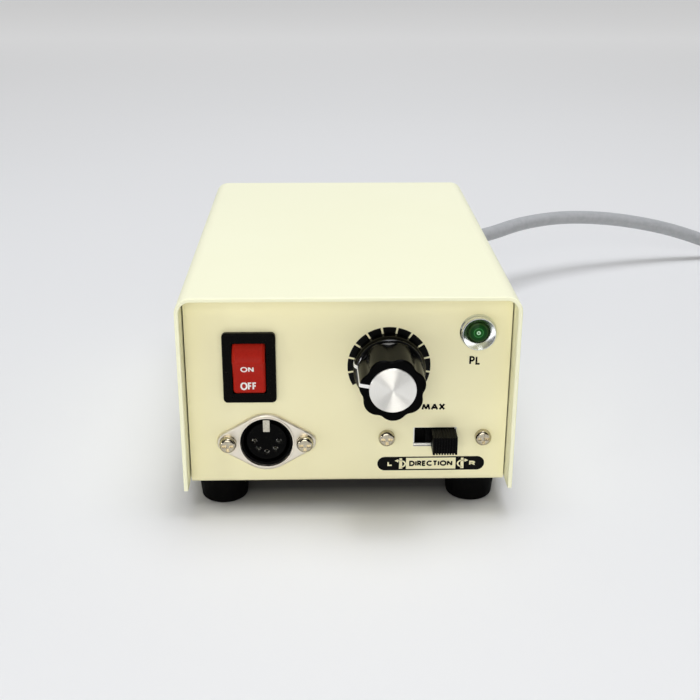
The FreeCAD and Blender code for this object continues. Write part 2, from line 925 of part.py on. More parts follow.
def rocker_profile(sketch):
    """Side view of the rocker about its pivot, both halves alike, turned to its OFF rest."""
    ridge_x = "rocker_radius * cos(rocker_ridge_angle)"
    ridge_z = "rocker_radius * sin(rocker_ridge_angle)"
    radius = number("rocker_radius")
    ridge = number("rocker_ridge_angle")
    foot = 0
    bottom = f"{ridge_z} - {ridge_x} * tan(rocker_hollow)"
    belly = number("rocker_radius * 0.5")
    turn = Rotation(Vector(0, 0, 1), number("rocker_swing / 2"))

    def spot(up, out):
        return turn.multVec(Vector(out, up, 0))

    def on_rim(angle, side):
        return spot(side * radius * math.cos(math.radians(angle)), -radius * math.sin(math.radians(angle)))

    middle = spot(0, -number(bottom))
    sketch.addGeometry(
        [
            Part.Arc(on_rim(ridge, -1), middle, on_rim(ridge, 1)),
            Part.Arc(on_rim(ridge, 1), on_rim((ridge + foot) / 2, 1), on_rim(foot, 1)),
            Part.LineSegment(on_rim(foot, 1), spot(belly, belly / 2)),
            Part.LineSegment(spot(belly, belly / 2), spot(-belly, belly / 2)),
            Part.LineSegment(spot(-belly, belly / 2), on_rim(foot, -1)),
            Part.Arc(on_rim(foot, -1), on_rim((ridge + foot) / 2, -1), on_rim(ridge, -1)),
        ],
        False,
    )


def power_rocker():
    """Red rocker with a hollowed face, its rounded ends on a circle about its pivot pins."""
    body = new_body("rocker_body")
    side = sketch_on(body, "YZ_Plane", "rocker_side", "-rocker_width / 2")
    rocker_profile(side)
    pad(body, side, "rocker_pad", "rocker_width")
    pins = sketch_on(body, "YZ_Plane", "rocker_pins", "-rocker_width / 2 - pivot_reach")
    circle(pins, "0", "0", "pivot_radius")
    pad(body, pins, "pivot_pad", "rocker_width + 2 * pivot_reach")
    front = -number("rocker_radius / 2")
    round_body(
        body,
        "rocker_edges",
        "rocker_edge",
        lambda edge: edge.BoundBox.YMin < front and not edge.isClosed(),
    )
    put(body, "rocker_x", "pivot_y", "rocker_z")
    node("power_rocker", body)


def switch_terminals():
    """Solder tabs of the three switches."""
    tabs = []
    for place in (-1, 0, 1):
        tabs.append(
            plate(
                f"power_tab_{place + 2}",
                "rocker_x",
                "panel_y + switch_body_depth",
                f"rocker_z + {place} * tab_pitch",
                "tab_width",
                "tab_length",
                "tab_thick",
            )
        )
    depth = "sheet_thick + frame_thick + housing_depth"
    for switch, x, y, z in (
        ("direction", "direction_x", f"panel_y + {depth}", "direction_z"),
        ("hand_foot", "hand_foot_x", f"rear_y - ({depth}) - slide_tab_length", "hand_foot_z"),
    ):
        for column in (-1, 0, 1):
            for row in (-1, 1):
                tabs.append(
                    plate(
                        f"{switch}_tab_{column + 2}_{row + 1}",
                        f"{x} + {column} * slide_tab_pitch",
                        y,
                        f"{z} + {row} * slide_tab_pitch / 2",
                        "slide_tab_thick",
                        "slide_tab_length",
                        "slide_tab_width",
                    )
                )
    node("switch_terminals", group("switch_terminal_set", tabs))


# The motor socket.


def flange_outline(sketch):
    """Two small ears and a round middle, drawn together by tangent lines."""
    reach, ear, middle = number("socket_pitch / 2"), number("ear_radius"), number("flange_radius")
    lean = math.asin((middle - ear) / reach)
    corners = []
    for side, centre, radius in ((1, reach, ear), (1, 0, middle), (-1, 0, middle), (-1, -reach, ear)):
        along = side * radius * math.sin(lean)
        corners.append(Vector(centre + along, radius * math.cos(lean), 0))
    right_ear, right_top, left_top, left_ear = corners
    under = [Vector(spot.x, -spot.y, 0) for spot in corners]
    sketch.addGeometry(
        [
            Part.LineSegment(right_ear, right_top),
            Part.Arc(right_top, Vector(0, middle, 0), left_top),
            Part.LineSegment(left_top, left_ear),
            Part.Arc(left_ear, Vector(-reach - ear, 0, 0), under[3]),
            Part.LineSegment(under[3], under[2]),
            Part.Arc(under[2], Vector(0, -middle, 0), under[1]),
            Part.LineSegment(under[1], under[0]),
            Part.Arc(under[0], Vector(reach + ear, 0, 0), right_ear),
        ],
        False,
    )


def socket_flange():
    """Pressed steel flange with its collar in front and its shell behind the panel."""
    body = new_body("flange_body")
    outline = sketch_on(body, "XZ_Plane", "flange_sketch")
    flange_outline(outline)
    pad(body, outline, "flange_pad", "flange_thick")
    shell = sketch_on(body, "XZ_Plane", "shell_sketch", "-shell_depth")
    circle(shell, "0", "0", "shell_radius")
    pad(body, shell, "shell_pad", "shell_depth + flange_thick + collar_height")
    bore = sketch_on(body, "XZ_Plane", "flange_holes", "flange_thick + collar_height")
    circle(bore, "0", "0", "shell_bore")
    for sign in ("-", ""):
        circle(bore, f"{sign}socket_pitch / 2", "0", "screw_hole")
    pocket(body, bore, "flange_cuts", "shell_depth + flange_thick + collar_height")
    lip = number("-flange_thick - collar_height")
    face = number("-flange_thick")
    round_body(
        body,
        "collar_round",
        "collar_height * 0.6",
        lambda edge: all_near(edge, "Y", lip),
    )
    round_body(
        body,
        "flange_round",
        "flange_edge",
        lambda edge: all_near(edge, "Y", face) and not edge.isClosed(),
    )
    put(body, "socket_x", "panel_y", "socket_z")
    node("socket_flange", body)


def contact_spots():
    """The contacts, evenly spread on an arc round the bottom, opposite the key."""
    last = int(SIZES["contact_count"]) - 1
    for place in range(last + 1):
        angle = f"(270 + contact_arc * ({place} / {last} - 0.5))"
        yield (
            f"socket_x + contact_circle * cos{angle}",
            f"socket_z + contact_circle * sin{angle}",
        )


def socket_insulator():
    """Black insulator: a core with holes for the pins, inside the ring groove for the sleeve."""
    front = "panel_y - flange_thick - collar_height + core_recess"
    length = "shell_depth + flange_thick + collar_height - core_recess"
    solid = rod(
        "insulator_solid", "socket_x", front, "socket_z", "shell_bore - thread_clearance", length
    )
    groove = ring(
        "sleeve_groove", "socket_x", front, "socket_z", "groove_radius", "core_radius", "groove_depth"
    )
    slot = block(
        "key_slot",
        "socket_x - key_width / 2 - lens_clearance",
        front,
        "socket_z + key_inner - lens_clearance",
        "key_width + 2 * lens_clearance",
        "groove_depth",
        "groove_radius - key_inner + lens_clearance",
    )
    holes = []
    for place, (x, z) in enumerate(contact_spots(), 1):
        holes.append(rod(f"contact_hole_{place}", x, front, z, "contact_hole", length))
    node("socket_insulator", cut("insulator", solid, groove, slot, *holes))


def socket_contacts():
    """Round contacts, hollow at the front and with solder tails behind."""
    contacts = []
    start = "panel_y - flange_thick - collar_height + core_recess + contact_setback"
    length = (
        "shell_depth + flange_thick + collar_height - core_recess - contact_setback + contact_tail"
    )
    for place, (x, z) in enumerate(contact_spots(), 1):
        pin = rod(f"contact_pin_{place}", x, start, z, "contact_radius", length)
        bore = rod(f"contact_bore_{place}", x, start, z, "contact_bore", "groove_depth - contact_setback")
        contacts.append(cut(f"contact_{place}", pin, bore))
    node("socket_contacts", group("contact_set", contacts))


def socket_key_spring():
    """Bent spring strip in the key slot that touches the plug's sleeve."""
    front = "panel_y - flange_thick - collar_height + core_recess"
    face = block(
        "key_face",
        "socket_x - key_width / 2",
        front,
        "socket_z + key_inner",
        "key_width",
        "key_strip",
        "groove_radius - key_inner",
    )
    leg = block(
        "key_leg",
        "socket_x - key_width / 2",
        front,
        "socket_z + groove_radius - key_strip",
        "key_width",
        "key_depth",
        "key_strip",
    )
    wall = rod(
        "key_room", "socket_x", front, "socket_z", "groove_radius - lens_clearance", "groove_depth"
    )
    node("socket_key_spring", common("key_spring", join("key_strip_bent", face, leg), wall))


def socket_screws():
    """Washers, screws and nuts that hold the flange to the panel."""
    screws, nuts = [], []
    for side, sign in (("left", "-"), ("right", "+")):
        x = f"socket_x {sign} socket_pitch / 2"
        y = "panel_y - flange_thick - washer_thick"
        name = f"socket_screw_{side}"
        length = "flange_thick + washer_thick + sheet_thick + nut_thick + 1"
        screws.append(pan_screw(name, x, y, "socket_z", TOWARDS_FRONT, length))
        screws.append(
            ring(name + "_washer", x, y, "socket_z", "washer_radius", "screw_hole", "washer_thick")
        )
        nuts.append(
            nut(
                f"socket_nut_{side}",
                x,
                "panel_y + sheet_thick",
                "socket_z",
                "nut_flats",
                "nut_thick",
                "thread_hole",
                ALONG_Y_FLATS_ASIDE,
            )
        )
    node("socket_screws", group("socket_screw_set", screws))
    node("socket_nuts", group("socket_nut_set", nuts))


# The speed control and its knob.


def speed_control():
    """Potentiometer can with its threaded bush through the panel, and the nut that holds it."""
    inside = "panel_y + sheet_thick"
    can = rod("control_can", "knob_x", inside, "knob_z", "can_radius", "can_depth")
    bush = rod(
        "control_bush",
        "knob_x",
        "panel_y - bush_reach",
        "knob_z",
        "bush_radius",
        "bush_reach + sheet_thick",
    )
    tag = plate(
        "control_tag",
        "knob_x",
        inside,
        "knob_z - can_radius - tab_width / 2",
        "3 * tab_width",
        "2 * tab_thick",
        "tab_width + 1",
    )
    bore = rod(
        "control_bore",
        "knob_x",
        "panel_y - bush_reach",
        "knob_z",
        "shaft_radius + bush_clearance",
        "bush_reach + sheet_thick + can_depth / 2",
    )
    node("speed_control", cut("control", join("control_solid", can, bush, tag), bore))
    node(
        "speed_control_nut",
        nut(
            "control_nut",
            "knob_x",
            "panel_y - bush_nut_thick",
            "knob_z",
            "bush_nut_flats",
            "bush_nut_thick",
            "bush_radius + thread_clearance",
        ),
    )


def wave_outline(sketch):
    """Round lobes joined by tangent flutes, with the first lobe on the sketch's X axis."""
    outer, root = number("grip_radius"), number("grip_radius - flute_depth")
    lobe = number("lobe_radius")
    count = int(SIZES["lobe_count"])
    half = math.pi / count
    centre = outer - lobe
    reach = centre * math.cos(half)
    flute = (lobe**2 - centre**2 - root**2 + 2 * root * reach) / (2 * (root - reach - lobe))

    def polar(radius, angle):
        return Vector(radius * math.cos(angle), radius * math.sin(angle), 0)

    arcs = []
    for place in range(count):
        middle = 2 * half * place
        lobe_centre = polar(centre, middle)
        meets = []
        for side in (-1, 1):
            flute_centre = polar(root + flute, middle + side * half)
            away = (flute_centre - lobe_centre).normalize()
            meets.append(lobe_centre + away * lobe)
        next_centre = polar(centre, middle + 2 * half)
        flute_centre = polar(root + flute, middle + half)
        far = next_centre + (flute_centre - next_centre).normalize() * lobe
        arcs.append(Part.Arc(meets[0], polar(outer, middle), meets[1]))
        arcs.append(Part.Arc(meets[1], polar(root, middle + half), far))
    sketch.addGeometry(arcs, False)


def knob_blank():
    """Round skirt with a rounded shoulder under a tapered grip whose outline is a wave."""
    body = new_body("knob_outer")
    skirt = sketch_on(body, "XY_Plane", "skirt_outline")
    circle(skirt, "0", "0", "skirt_radius")
    pad(body, skirt, "skirt_pad", "skirt_height")
    shoulder = number("skirt_height")
    round_body(body, "skirt_shoulder", "skirt_round", lambda edge: all_near(edge, "Z", shoulder))
    wave = sketch_on(body, "XY_Plane", "grip_outline", "skirt_height - skirt_round")
    wave_outline(wave)
    grip = pad(body, wave, "grip_pad", "knob_height - skirt_height + skirt_round")
    tie(grip, TaperAngle="-atan(grip_taper / (knob_height - skirt_height + skirt_round))")
    top = number("knob_height")
    round_body(body, "grip_edge", "knob_edge", lambda edge: all_near(edge, "Z", top))
    return body


def knob_core():
    """The knob drawn in by the thickness of the pointer's inlay."""
    body = new_body("knob_inner")
    outline = sketch_on(body, "XZ_Plane", "knob_core_outline")
    polygon(
        outline,
        [
            ("0", "0"),
            ("skirt_radius - pointer_skin", "0"),
            ("skirt_radius - pointer_skin", "skirt_height - skirt_round"),
            ("grip_radius - pointer_skin", "skirt_height - skirt_round + skirt_radius - grip_radius"),
            ("grip_radius - grip_taper - pointer_skin", "knob_height - knob_edge"),
            ("grip_radius - grip_taper - knob_edge", "knob_height - pointer_skin"),
            ("0", "knob_height - pointer_skin"),
        ],
    )
    revolve(body, outline, "knob_core_turned")
    return body


def speed_knob():
    """Fluted knob with its white pointer, metal bush, aluminium cap and the shaft it turns."""
    outer = knob_blank()
    inner = knob_core()
    line = block(
        "pointer_line",
        "cap_radius / 2",
        "-pointer_width / 2",
        "0",
        "skirt_radius",
        "pointer_width",
        "2 * knob_height",
    )
    skin = cut("pointer_skin_shell", outer, inner)
    inlay = common("pointer_inlay", skin, line)
    hollow = rod("knob_hollow", "0", "0", "0", "knob_hollow_radius", "knob_hollow_depth", UPWARDS)
    seat = rod(
        "bush_seat",
        "0",
        "0",
        "knob_hollow_depth",
        "knob_bush_radius + knob_fit",
        "knob_bush_length",
        UPWARDS,
    )
    dish = rod(
        "cap_seat",
        "0",
        "0",
        "knob_height - cap_thick + cap_proud",
        "cap_radius + knob_fit",
        "cap_thick",
        UPWARDS,
    )
    pointer = cut("pointer", inlay, dish)
    knob = cut("knob", outer, hollow, seat, dish, inlay)
    metal = rod(
        "knob_bush_rod", "0", "0", "knob_hollow_depth", "knob_bush_radius", "knob_bush_length", UPWARDS
    )
    bore = rod(
        "knob_bush_bore",
        "0",
        "0",
        "knob_hollow_depth",
        "shaft_radius + knob_fit",
        "knob_bush_length",
        UPWARDS,
    )
    bush = cut("knob_bush_turned", metal, bore)
    disc = rod(
        "cap_disc", "0", "0", "knob_height - cap_thick + cap_proud", "cap_radius", "cap_thick", UPWARDS
    )
    top = number("knob_height + cap_proud")
    cap = soften("cap_turned", disc, "cap_edge", lambda edge: all_near(edge, "Z", top))
    for name, item in (
        ("speed_knob", knob),
        ("knob_pointer", pointer),
        ("knob_bush", bush),
        ("knob_cap", cap),
    ):
        seated = group(name + "_seated", [item])
        turned = TOWARDS_FRONT.multiply(Rotation(Vector(0, 0, 1), SIZES["pointer_angle"]))
        put(seated, "knob_x", "panel_y - knob_gap", "knob_z", turned)
        node(name, seated)
    node(
        "speed_shaft",
        rod(
            "shaft",
            "knob_x",
            "panel_y - knob_gap - shaft_reach",
            "knob_z",
            "shaft_radius",
            "shaft_reach + knob_gap + sheet_thick + can_depth / 3",
        ),
    )


# Printing on the front panel.


def dial_scale():
    """Printed ring of black segments with bare ticks between them."""
    segments = []
    count = int(SIZES["scale_segments"])
    for place in range(count):
        middle = (place - (count - 1) / 2) * SIZES["scale_pitch"]
        sweep = "(scale_pitch - scale_tick)"
        outer = rod(
            f"scale_outer_{place}", "0", "0", "0", "scale_outer", "print_thick", UPWARDS
        )
        tie(outer, Angle=sweep)
        inner = rod(f"scale_inner_{place}", "0", "0", "-1", "scale_inner", "2", UPWARDS)
        segment = cut(f"scale_segment_{place}", outer, inner)
        start = 90 - middle - (SIZES["scale_pitch"] - SIZES["scale_tick"]) / 2
        turned = TOWARDS_FRONT.multiply(Rotation(Vector(0, 0, 1), start))
        segments.append(put(segment, "knob_x", "panel_y", "knob_z", turned))
    node("dial_scale", group("scale_segment_set", segments))


def direction_label():
    """Printed bar with round ends and a bare window in its middle."""
    front = "panel_y - print_thick"
    straight = "label_length - label_height"
    bar = plate("label_bar", "label_x", front, "label_z", straight, "print_thick", "label_height")
    ends = [
        rod(
            f"label_end_{side}",
            f"label_x {sign} ({straight}) / 2",
            front,
            "label_z",
            "label_height / 2",
            "print_thick",
        )
        for side, sign in (("left", "-"), ("right", "+"))
    ]
    window = plate(
        "label_window_cut",
        "label_x",
        "panel_y - 1",
        "label_z",
        "label_window",
        "2",
        "label_height - 2 * label_line",
    )
    node("direction_label", cut("label", join("label_solid", bar, *ends), window))


# The pilot lamp.


def pilot_lamp():
    """Chromed bezel round a green cone-nosed lens, with its diode and the nut on the tube."""
    body = new_body("lamp_body")
    section = sketch_on(body, "XZ_Plane", "lamp_section")
    bore = "lens_radius + lens_clearance"
    polygon(
        section,
        [
            (bore, "-lamp_tube_depth"),
            ("lamp_tube_radius", "-lamp_tube_depth"),
            ("lamp_tube_radius", "0"),
            ("lamp_flange_radius", "0"),
            ("lamp_flange_radius", "lamp_flange_thick * 0.6"),
            ("lamp_flange_radius - 0.35", "lamp_flange_thick"),
            ("lamp_ring_radius", "lamp_flange_thick"),
            ("lamp_ring_radius", "lamp_ring_reach - lamp_lip"),
            ("lamp_ring_radius - lamp_lip", "lamp_ring_reach"),
            ("lamp_ring_radius - 2 * lamp_lip", "lamp_ring_reach"),
            (bore, "lamp_ring_reach - lamp_cone_depth"),
        ],
    )
    revolve(body, section, "lamp_turned")
    put(body, "lamp_x", "panel_y", "lamp_z", TOWARDS_FRONT)
    node("lamp_bezel", body)
    lens = new_body("lens_body")
    nose = sketch_on(lens, "XZ_Plane", "lens_section")
    room = "diode_radius + lens_clearance"
    polygon(
        nose,
        [
            (room, "-lamp_tube_depth / 2"),
            ("lens_radius", "-lamp_tube_depth / 2"),
            ("lens_radius", "lamp_ring_reach - lamp_cone_depth"),
            ("lens_nose_radius", "lamp_ring_reach - lens_sink - lens_rise"),
            ("0", "lamp_ring_reach - lens_sink"),
            ("0", "lens_room_rise"),
            (room, "lens_room_rise"),
        ],
    )
    revolve(lens, nose, "lens_turned")
    put(lens, "lamp_x", "panel_y", "lamp_z", TOWARDS_FRONT)
    node("lamp_lens", lens)
    node(
        "lamp_nut",
        nut(
            "lamp_ring_nut",
            "lamp_x",
            "panel_y + sheet_thick",
            "lamp_z",
            "lamp_nut_flats",
            "lamp_nut_thick",
            "lamp_tube_radius + thread_clearance",
        ),
    )
    bulb = rod("diode_bulb", "lamp_x", "panel_y", "lamp_z", "diode_radius", "diode_length")
    leads = [
        rod(
            f"diode_lead_{side}",
            f"lamp_x {sign} lead_pitch / 2",
            "panel_y + diode_length - 1",
            "lamp_z",
            "lead_radius",
            "lead_length",
        )
        for side, sign in (("left", "-"), ("right", "+"))
    ]
    node("lamp_diode", join("diode", bulb, *leads))


# Slide switches: one in front for the direction, one behind for hand or foot control.


def slide_switch(prefix, x, z, wall, sign, turn):
    """A slide switch behind a panel whose outer face is at wall; sign + runs backwards."""

    def slab(name, start, thick, wide, high):
        first = f"{wall} {sign} ({start})"
        begin = first if sign == "+" else f"{first} - ({thick})"
        return plate(name, x, begin, z, wide, thick, high)

    frame = slab(prefix + "_sheet", "sheet_thick", "frame_thick", "frame_length", "frame_height")
    opening = slab(
        prefix + "_opening",
        "sheet_thick",
        "frame_thick",
        "window_width - 2 * frame_lip",
        "window_height - 2 * frame_lip",
    )
    threads = []
    screws = []
    for side, way in (("left", "-"), ("right", "+")):
        spot = f"{x} {way} slide_pitch / 2"
        begin = f"{wall} + sheet_thick" if sign == "+" else f"{wall} - sheet_thick - frame_thick"
        threads.append(rod(f"{prefix}_thread_{side}", spot, begin, z, "thread_hole", "frame_thick"))
        length = "sheet_thick + frame_thick + 2"
        screws.append(pan_screw(f"{prefix}_screw_{side}", spot, wall, z, turn, length))
    node(prefix + "_frame", cut(prefix + "_frame_plate", frame, opening, *threads))
    behind = "sheet_thick + frame_thick"
    case = slab(prefix + "_case", behind, "housing_depth", "housing_length", "housing_height")
    room = slab(
        prefix + "_room",
        behind,
        "lever_plate_thick + 2 * lever_clearance",
        "lever_width + 2 * lever_plate_side + lever_travel + 2 * lever_clearance",
        "housing_height - 2 * housing_wall",
    )
    node(prefix + "_housing", cut(prefix + "_case_hollow", case, room))
    node(prefix + "_screws", group(prefix + "_screw_set", screws))


def slide_lever(name, x, z, wall, sign, rest):
    """Ribbed lever on a plate that slides inside the housing; rest + sits at the right."""
    centre = f"{x} {rest} lever_travel / 2"
    grip_depth = "(lever_reach - lever_clearance)"
    plate_start = "(sheet_thick + frame_thick + lever_clearance)"
    neck_depth = f"({plate_start} + lever_clearance)"
    grip_begin = f"{wall} - lever_reach"
    neck_begin = f"{wall} - lever_clearance"
    plate_begin = f"{wall} + {plate_start}"
    if sign == "-":
        grip_begin = f"{wall} + lever_clearance"
        neck_begin = f"{wall} + lever_clearance - {neck_depth}"
        plate_begin = f"{wall} - {plate_start} - lever_plate_thick"
    grip = plate(name + "_grip", centre, grip_begin, z, "lever_width", grip_depth, "lever_height")
    neck = plate(
        name + "_neck",
        centre,
        neck_begin,
        z,
        "lever_width - 2 * lever_neck_inset",
        neck_depth,
        "lever_height - 2 * lever_neck_inset",
    )
    foot = plate(
        name + "_plate",
        centre,
        plate_begin,
        z,
        "lever_width + 2 * lever_plate_side",
        "lever_plate_thick",
        "housing_height - 2 * housing_wall - 2 * lever_clearance",
    )
    grooves = []
    gap, depth = "lever_groove_width", "lever_groove_depth"
    tip = f"{wall} - lever_reach" if sign == "+" else f"{wall} + lever_reach - {depth}"
    for place in range(1, int(SIZES["lever_ribs"])):
        spot = f"{centre} + ({place} / lever_ribs - 0.5) * lever_width"
        label = f"{name}_groove_{place}"
        grooves.append(plate(label, spot, tip, z, gap, depth, "2 * lever_height"))
        for edge, way in (("top", "+"), ("bottom", "-")):
            height = f"{z} {way} (lever_height / 2)"
            grooves.append(
                plate(f"{label}_{edge}", spot, grip_begin, height, gap, grip_depth, f"2 * {depth}")
            )
    node(name, cut(name + "_ribbed", join(name + "_solid", grip, neck, foot), *grooves))


def slide_switches():
    slide_switch("direction_switch", "direction_x", "direction_z", "panel_y", "+", TOWARDS_FRONT)
    slide_lever("direction_lever", "direction_x", "direction_z", "panel_y", "+", "+")
    slide_switch("hand_foot_switch", "hand_foot_x", "hand_foot_z", "rear_y", "-", ALONG_Y)
    slide_lever("hand_foot_lever", "hand_foot_x", "hand_foot_z", "rear_y", "-", "+")


# Fittings of the rear panel.


def fuse_holder():
    """Fuse holder with its cap, the glass fuse that the cap carries and the nut inside."""
    inside = "rear_y - fuse_body_depth"
    tube = rod("fuse_tube", "fuse_x", inside, "fuse_z", "fuse_body_radius", "fuse_body_depth")
    flange = rod("fuse_flange", "fuse_x", "rear_y", "fuse_z", "fuse_flange_radius", "fuse_flange_thick")
    bore = rod(
        "fuse_room",
        "fuse_x",
        "rear_y - fuse_body_depth + housing_wall",
        "fuse_z",
        "fuse_bore",
        "fuse_body_depth + fuse_flange_thick",
    )
    node("fuse_holder", cut("fuse_case", join("fuse_solid", tube, flange), bore))
    node(
        "fuse_holder_nut",
        nut(
            "fuse_nut",
            "fuse_x",
            "rear_y - sheet_thick - fuse_nut_thick",
            "fuse_z",
            "fuse_nut_flats",
            "fuse_nut_thick",
            "fuse_body_radius + thread_clearance",
        ),
    )
    seat = "rear_y + fuse_flange_thick + fuse_cap_gap"
    knob = rod(
        "fuse_knob",
        "fuse_x",
        seat,
        "fuse_z",
        "fuse_cap_radius",
        "fuse_cap_out - fuse_flange_thick - fuse_cap_gap",
    )
    end = number("rear_y + fuse_cap_out")
    rounded = soften("fuse_knob_round", knob, "0.8", lambda edge: all_near(edge, "Y", end))
    stem = rod(
        "fuse_stem", "fuse_x", f"{seat} - fuse_plug_length", "fuse_z", "fuse_plug_radius", "fuse_plug_length"
    )
    slot = plate(
        "fuse_slot",
        "fuse_x",
        "rear_y + fuse_cap_out - fuse_slot_depth",
        "fuse_z",
        "2 * fuse_cap_radius",
        "fuse_slot_depth",
        "fuse_slot_width",
    )
    node("fuse_cap", cut("fuse_cap_slotted", join("fuse_cap_solid", rounded, stem), slot))
    glass_end = f"{seat} - fuse_plug_length"
    node(
        "fuse_link",
        rod(
            "fuse_glass",
            "fuse_x",
            f"{glass_end} - fuse_glass_length",
            "fuse_z",
            "fuse_glass_radius",
            "fuse_glass_length",
        ),
    )


def foot_jack():
    """Socket for the plug of a foot control, with its nut outside."""
    inside = "rear_y - sheet_thick - jack_body_depth"
    case = plate(
        "jack_case", "jack_x", inside, "jack_z", "jack_body_width", "jack_body_depth", "jack_body_height"
    )
    bush = rod(
        "jack_bush",
        "jack_x",
        "rear_y - sheet_thick",
        "jack_z",
        "jack_bush_radius",
        "sheet_thick + jack_bush_reach",
    )
    bore = rod(
        "jack_room",
        "jack_x",
        "rear_y + jack_bush_reach - jack_hole_depth",
        "jack_z",
        "jack_bore",
        "jack_hole_depth",
    )
    node("foot_jack", cut("jack", join("jack_solid", case, bush), bore))
    node(
        "foot_jack_nut",
        nut(
            "jack_nut",
            "jack_x",
            "rear_y",
            "jack_z",
            "jack_nut_flats",
            "jack_nut_thick",
            "jack_bush_radius + thread_clearance",
        ),
    )


def strain_relief():
    """Tapered bush with flexing rings, locked into the rear panel round the lead."""
    lock = rod(
        "relief_lock",
        "cord_x",
        "rear_y - sheet_thick - relief_lock_depth",
        "cord_z",
        "relief_lock_radius",
        "relief_lock_depth",
    )
    neck = rod(
        "relief_neck",
        "cord_x",
        "rear_y - sheet_thick",
        "cord_z",
        "relief_neck_radius",
        "sheet_thick",
    )
    flange = rod(
        "relief_flange", "cord_x", "rear_y", "cord_z", "relief_flange_radius", "relief_flange_thick"
    )
    taper = cone(
        "relief_taper",
        "cord_x",
        "rear_y + relief_flange_thick",
        "cord_z",
        "relief_root_radius",
        "relief_tip_radius",
        "relief_length - relief_flange_thick",
    )
    grooves = []
    for place in range(int(SIZES["relief_rings"])):
        start = f"rear_y + relief_flange_thick + 1.6 + {place} * relief_ring_pitch"
        narrowing = "(relief_root_radius - relief_tip_radius) * 0.2"
        inner = f"relief_root_radius - relief_ring_depth - {place} * {narrowing}"
        grooves.append(
            ring(
                f"relief_groove_{place}",
                "cord_x",
                start,
                "cord_z",
                "relief_flange_radius",
                inner,
                "relief_ring_width",
            )
        )
    solid = join("relief_solid", lock, neck, flange, taper)
    node("strain_relief", cut("relief", solid, *grooves))


# The mains lead.


def arc_from(start, heading, end):
    """The arc that leaves start along heading and reaches end, or the line if it is straight."""
    chord = end - start
    along = Vector(chord).normalize()
    across = heading - along * heading.dot(along)
    if across.Length < 1e-6:
        return Part.LineSegment(start, end)
    half = math.acos(max(-1, min(1, heading.dot(along)))) / 2
    middle = (start + end) * 0.5 + across.normalize() * (chord.Length / 2 * math.tan(half))
    return Part.Arc(start, middle, end)


def biarc(start, leaving, end, arriving):
    """Two tangent arcs between two points with known directions."""
    chord = end - start
    both = leaving + arriving
    spread = 2 * (1 - leaving.dot(arriving))
    if spread < 1e-9:
        reach = chord.dot(chord) / (2 * chord.dot(both))
    else:
        product = chord.dot(both)
        root = math.sqrt(product * product + spread * chord.dot(chord))
        reach = (root - product) / spread
    joint = (start + end + (leaving - arriving) * reach) * 0.5
    turned = (end - arriving * reach - joint).normalize()
    return [arc_from(start, leaving, joint), arc_from(joint, turned, end)]


def tube_along(edges, radius):
    """A solid round tube whose path is a chain of tangent edges."""
    shapes = [edge.toShape() for edge in edges]
    path = Part.Wire(shapes)
    first = shapes[0]
    start = first.valueAt(first.FirstParameter)
    heading = first.tangentAt(first.FirstParameter)
    section = Part.Wire([Part.makeCircle(radius, start, heading)])
    solid = path.makePipeShell([section], True, False)
    expected = math.pi * radius**2 * path.Length
    if abs(solid.Volume - expected) > 0.01 * expected:
        raise RuntimeError("the tube's volume differs from its section times its length")
    return solid, path.Length


def lead_edges(points):
    """Straight runs joined by arcs as large as the two runs beside each corner allow."""
    edges, radii = [], []
    place = points[0]
    for before, corner, after in zip(points, points[1:], points[2:]):
        coming = (corner - before).normalize()
        going = (after - corner).normalize()
        shorter = min((corner - before).Length, (after - corner).Length)
        half_turn = math.acos(max(-1, min(1, coming.dot(going)))) / 2
        back = 0.45 * shorter
        radii.append(back / math.tan(half_turn))
        edges.append(Part.LineSegment(place, corner - coming * back))
        edges.append(arc_from(corner - coming * back, coming, corner + going * back))
        place = corner + going * back
    edges.append(Part.LineSegment(place, points[-1]))
    print("lead bend radii:", " ".join(f"{radius:.0f}" for radius in radii))
    return edges


def coil_spot(turn):
    """Point of the coil after some turns: it spirals in, climbs a layer and spirals out."""
    turns = SIZES["coil_turns"]
    reverse = turns + 0.25
    depth = reverse - abs(turn - reverse)
    radius = SIZES["coil_outer"] - SIZES["coil_pitch"] * depth
    climb = min(max((turn - turns) / 0.5, 0), 1)
    height = SIZES["cord_radius"] + SIZES["coil_rise"] * (1 - math.cos(math.pi * climb)) / 2
    angle = math.radians(90 - 360 * turn)
    return Vector(
        SIZES["coil_x"] + radius * math.cos(angle),
        SIZES["coil_y"] + radius * math.sin(angle),
        height,
    )


def coil_heading(turn):
    step = 0.01
    return (coil_spot(turn + step) - coil_spot(turn - step)).normalize()


def coil_edges():
    """The wound part of the lead, from its lead-in to the neck of the plug."""
    last = 2 * SIZES["coil_turns"] + 0.25
    count = round(4 * last)
    start = coil_spot(0)
    entry = start - Vector(1, 0, 0) * SIZES["coil_lead_in"]
    edges = [Part.LineSegment(entry, start)]
    headings = [Vector(1, 0, 0)] + [coil_heading(place / 4) for place in range(1, count)]
    headings.append(Vector(0, -1, 0))
    for place in range(count):
        here, there = coil_spot(place / 4), coil_spot((place + 1) / 4)
        edges += biarc(here, headings[place], there, headings[place + 1])
    return edges + tail_edges(coil_spot(last))


def tail_edges(leaving):
    """From the coil's last turn round to the plug, rising to the plug's axis."""
    down = Vector(0, -1, 0)
    across = Vector(-1, 0, 0)
    bend = SIZES["tail_bend"]
    turned = leaving + down * SIZES["tail_drop"]
    turned.z = SIZES["plug_body_height"] / 2
    neck = turned + down * bend + across * bend
    edges = biarc(leaving, down, turned, down)
    edges += biarc(turned, down, neck, across)
    edges.append(Part.LineSegment(neck, neck + across * SIZES["tail_run"]))
    return edges


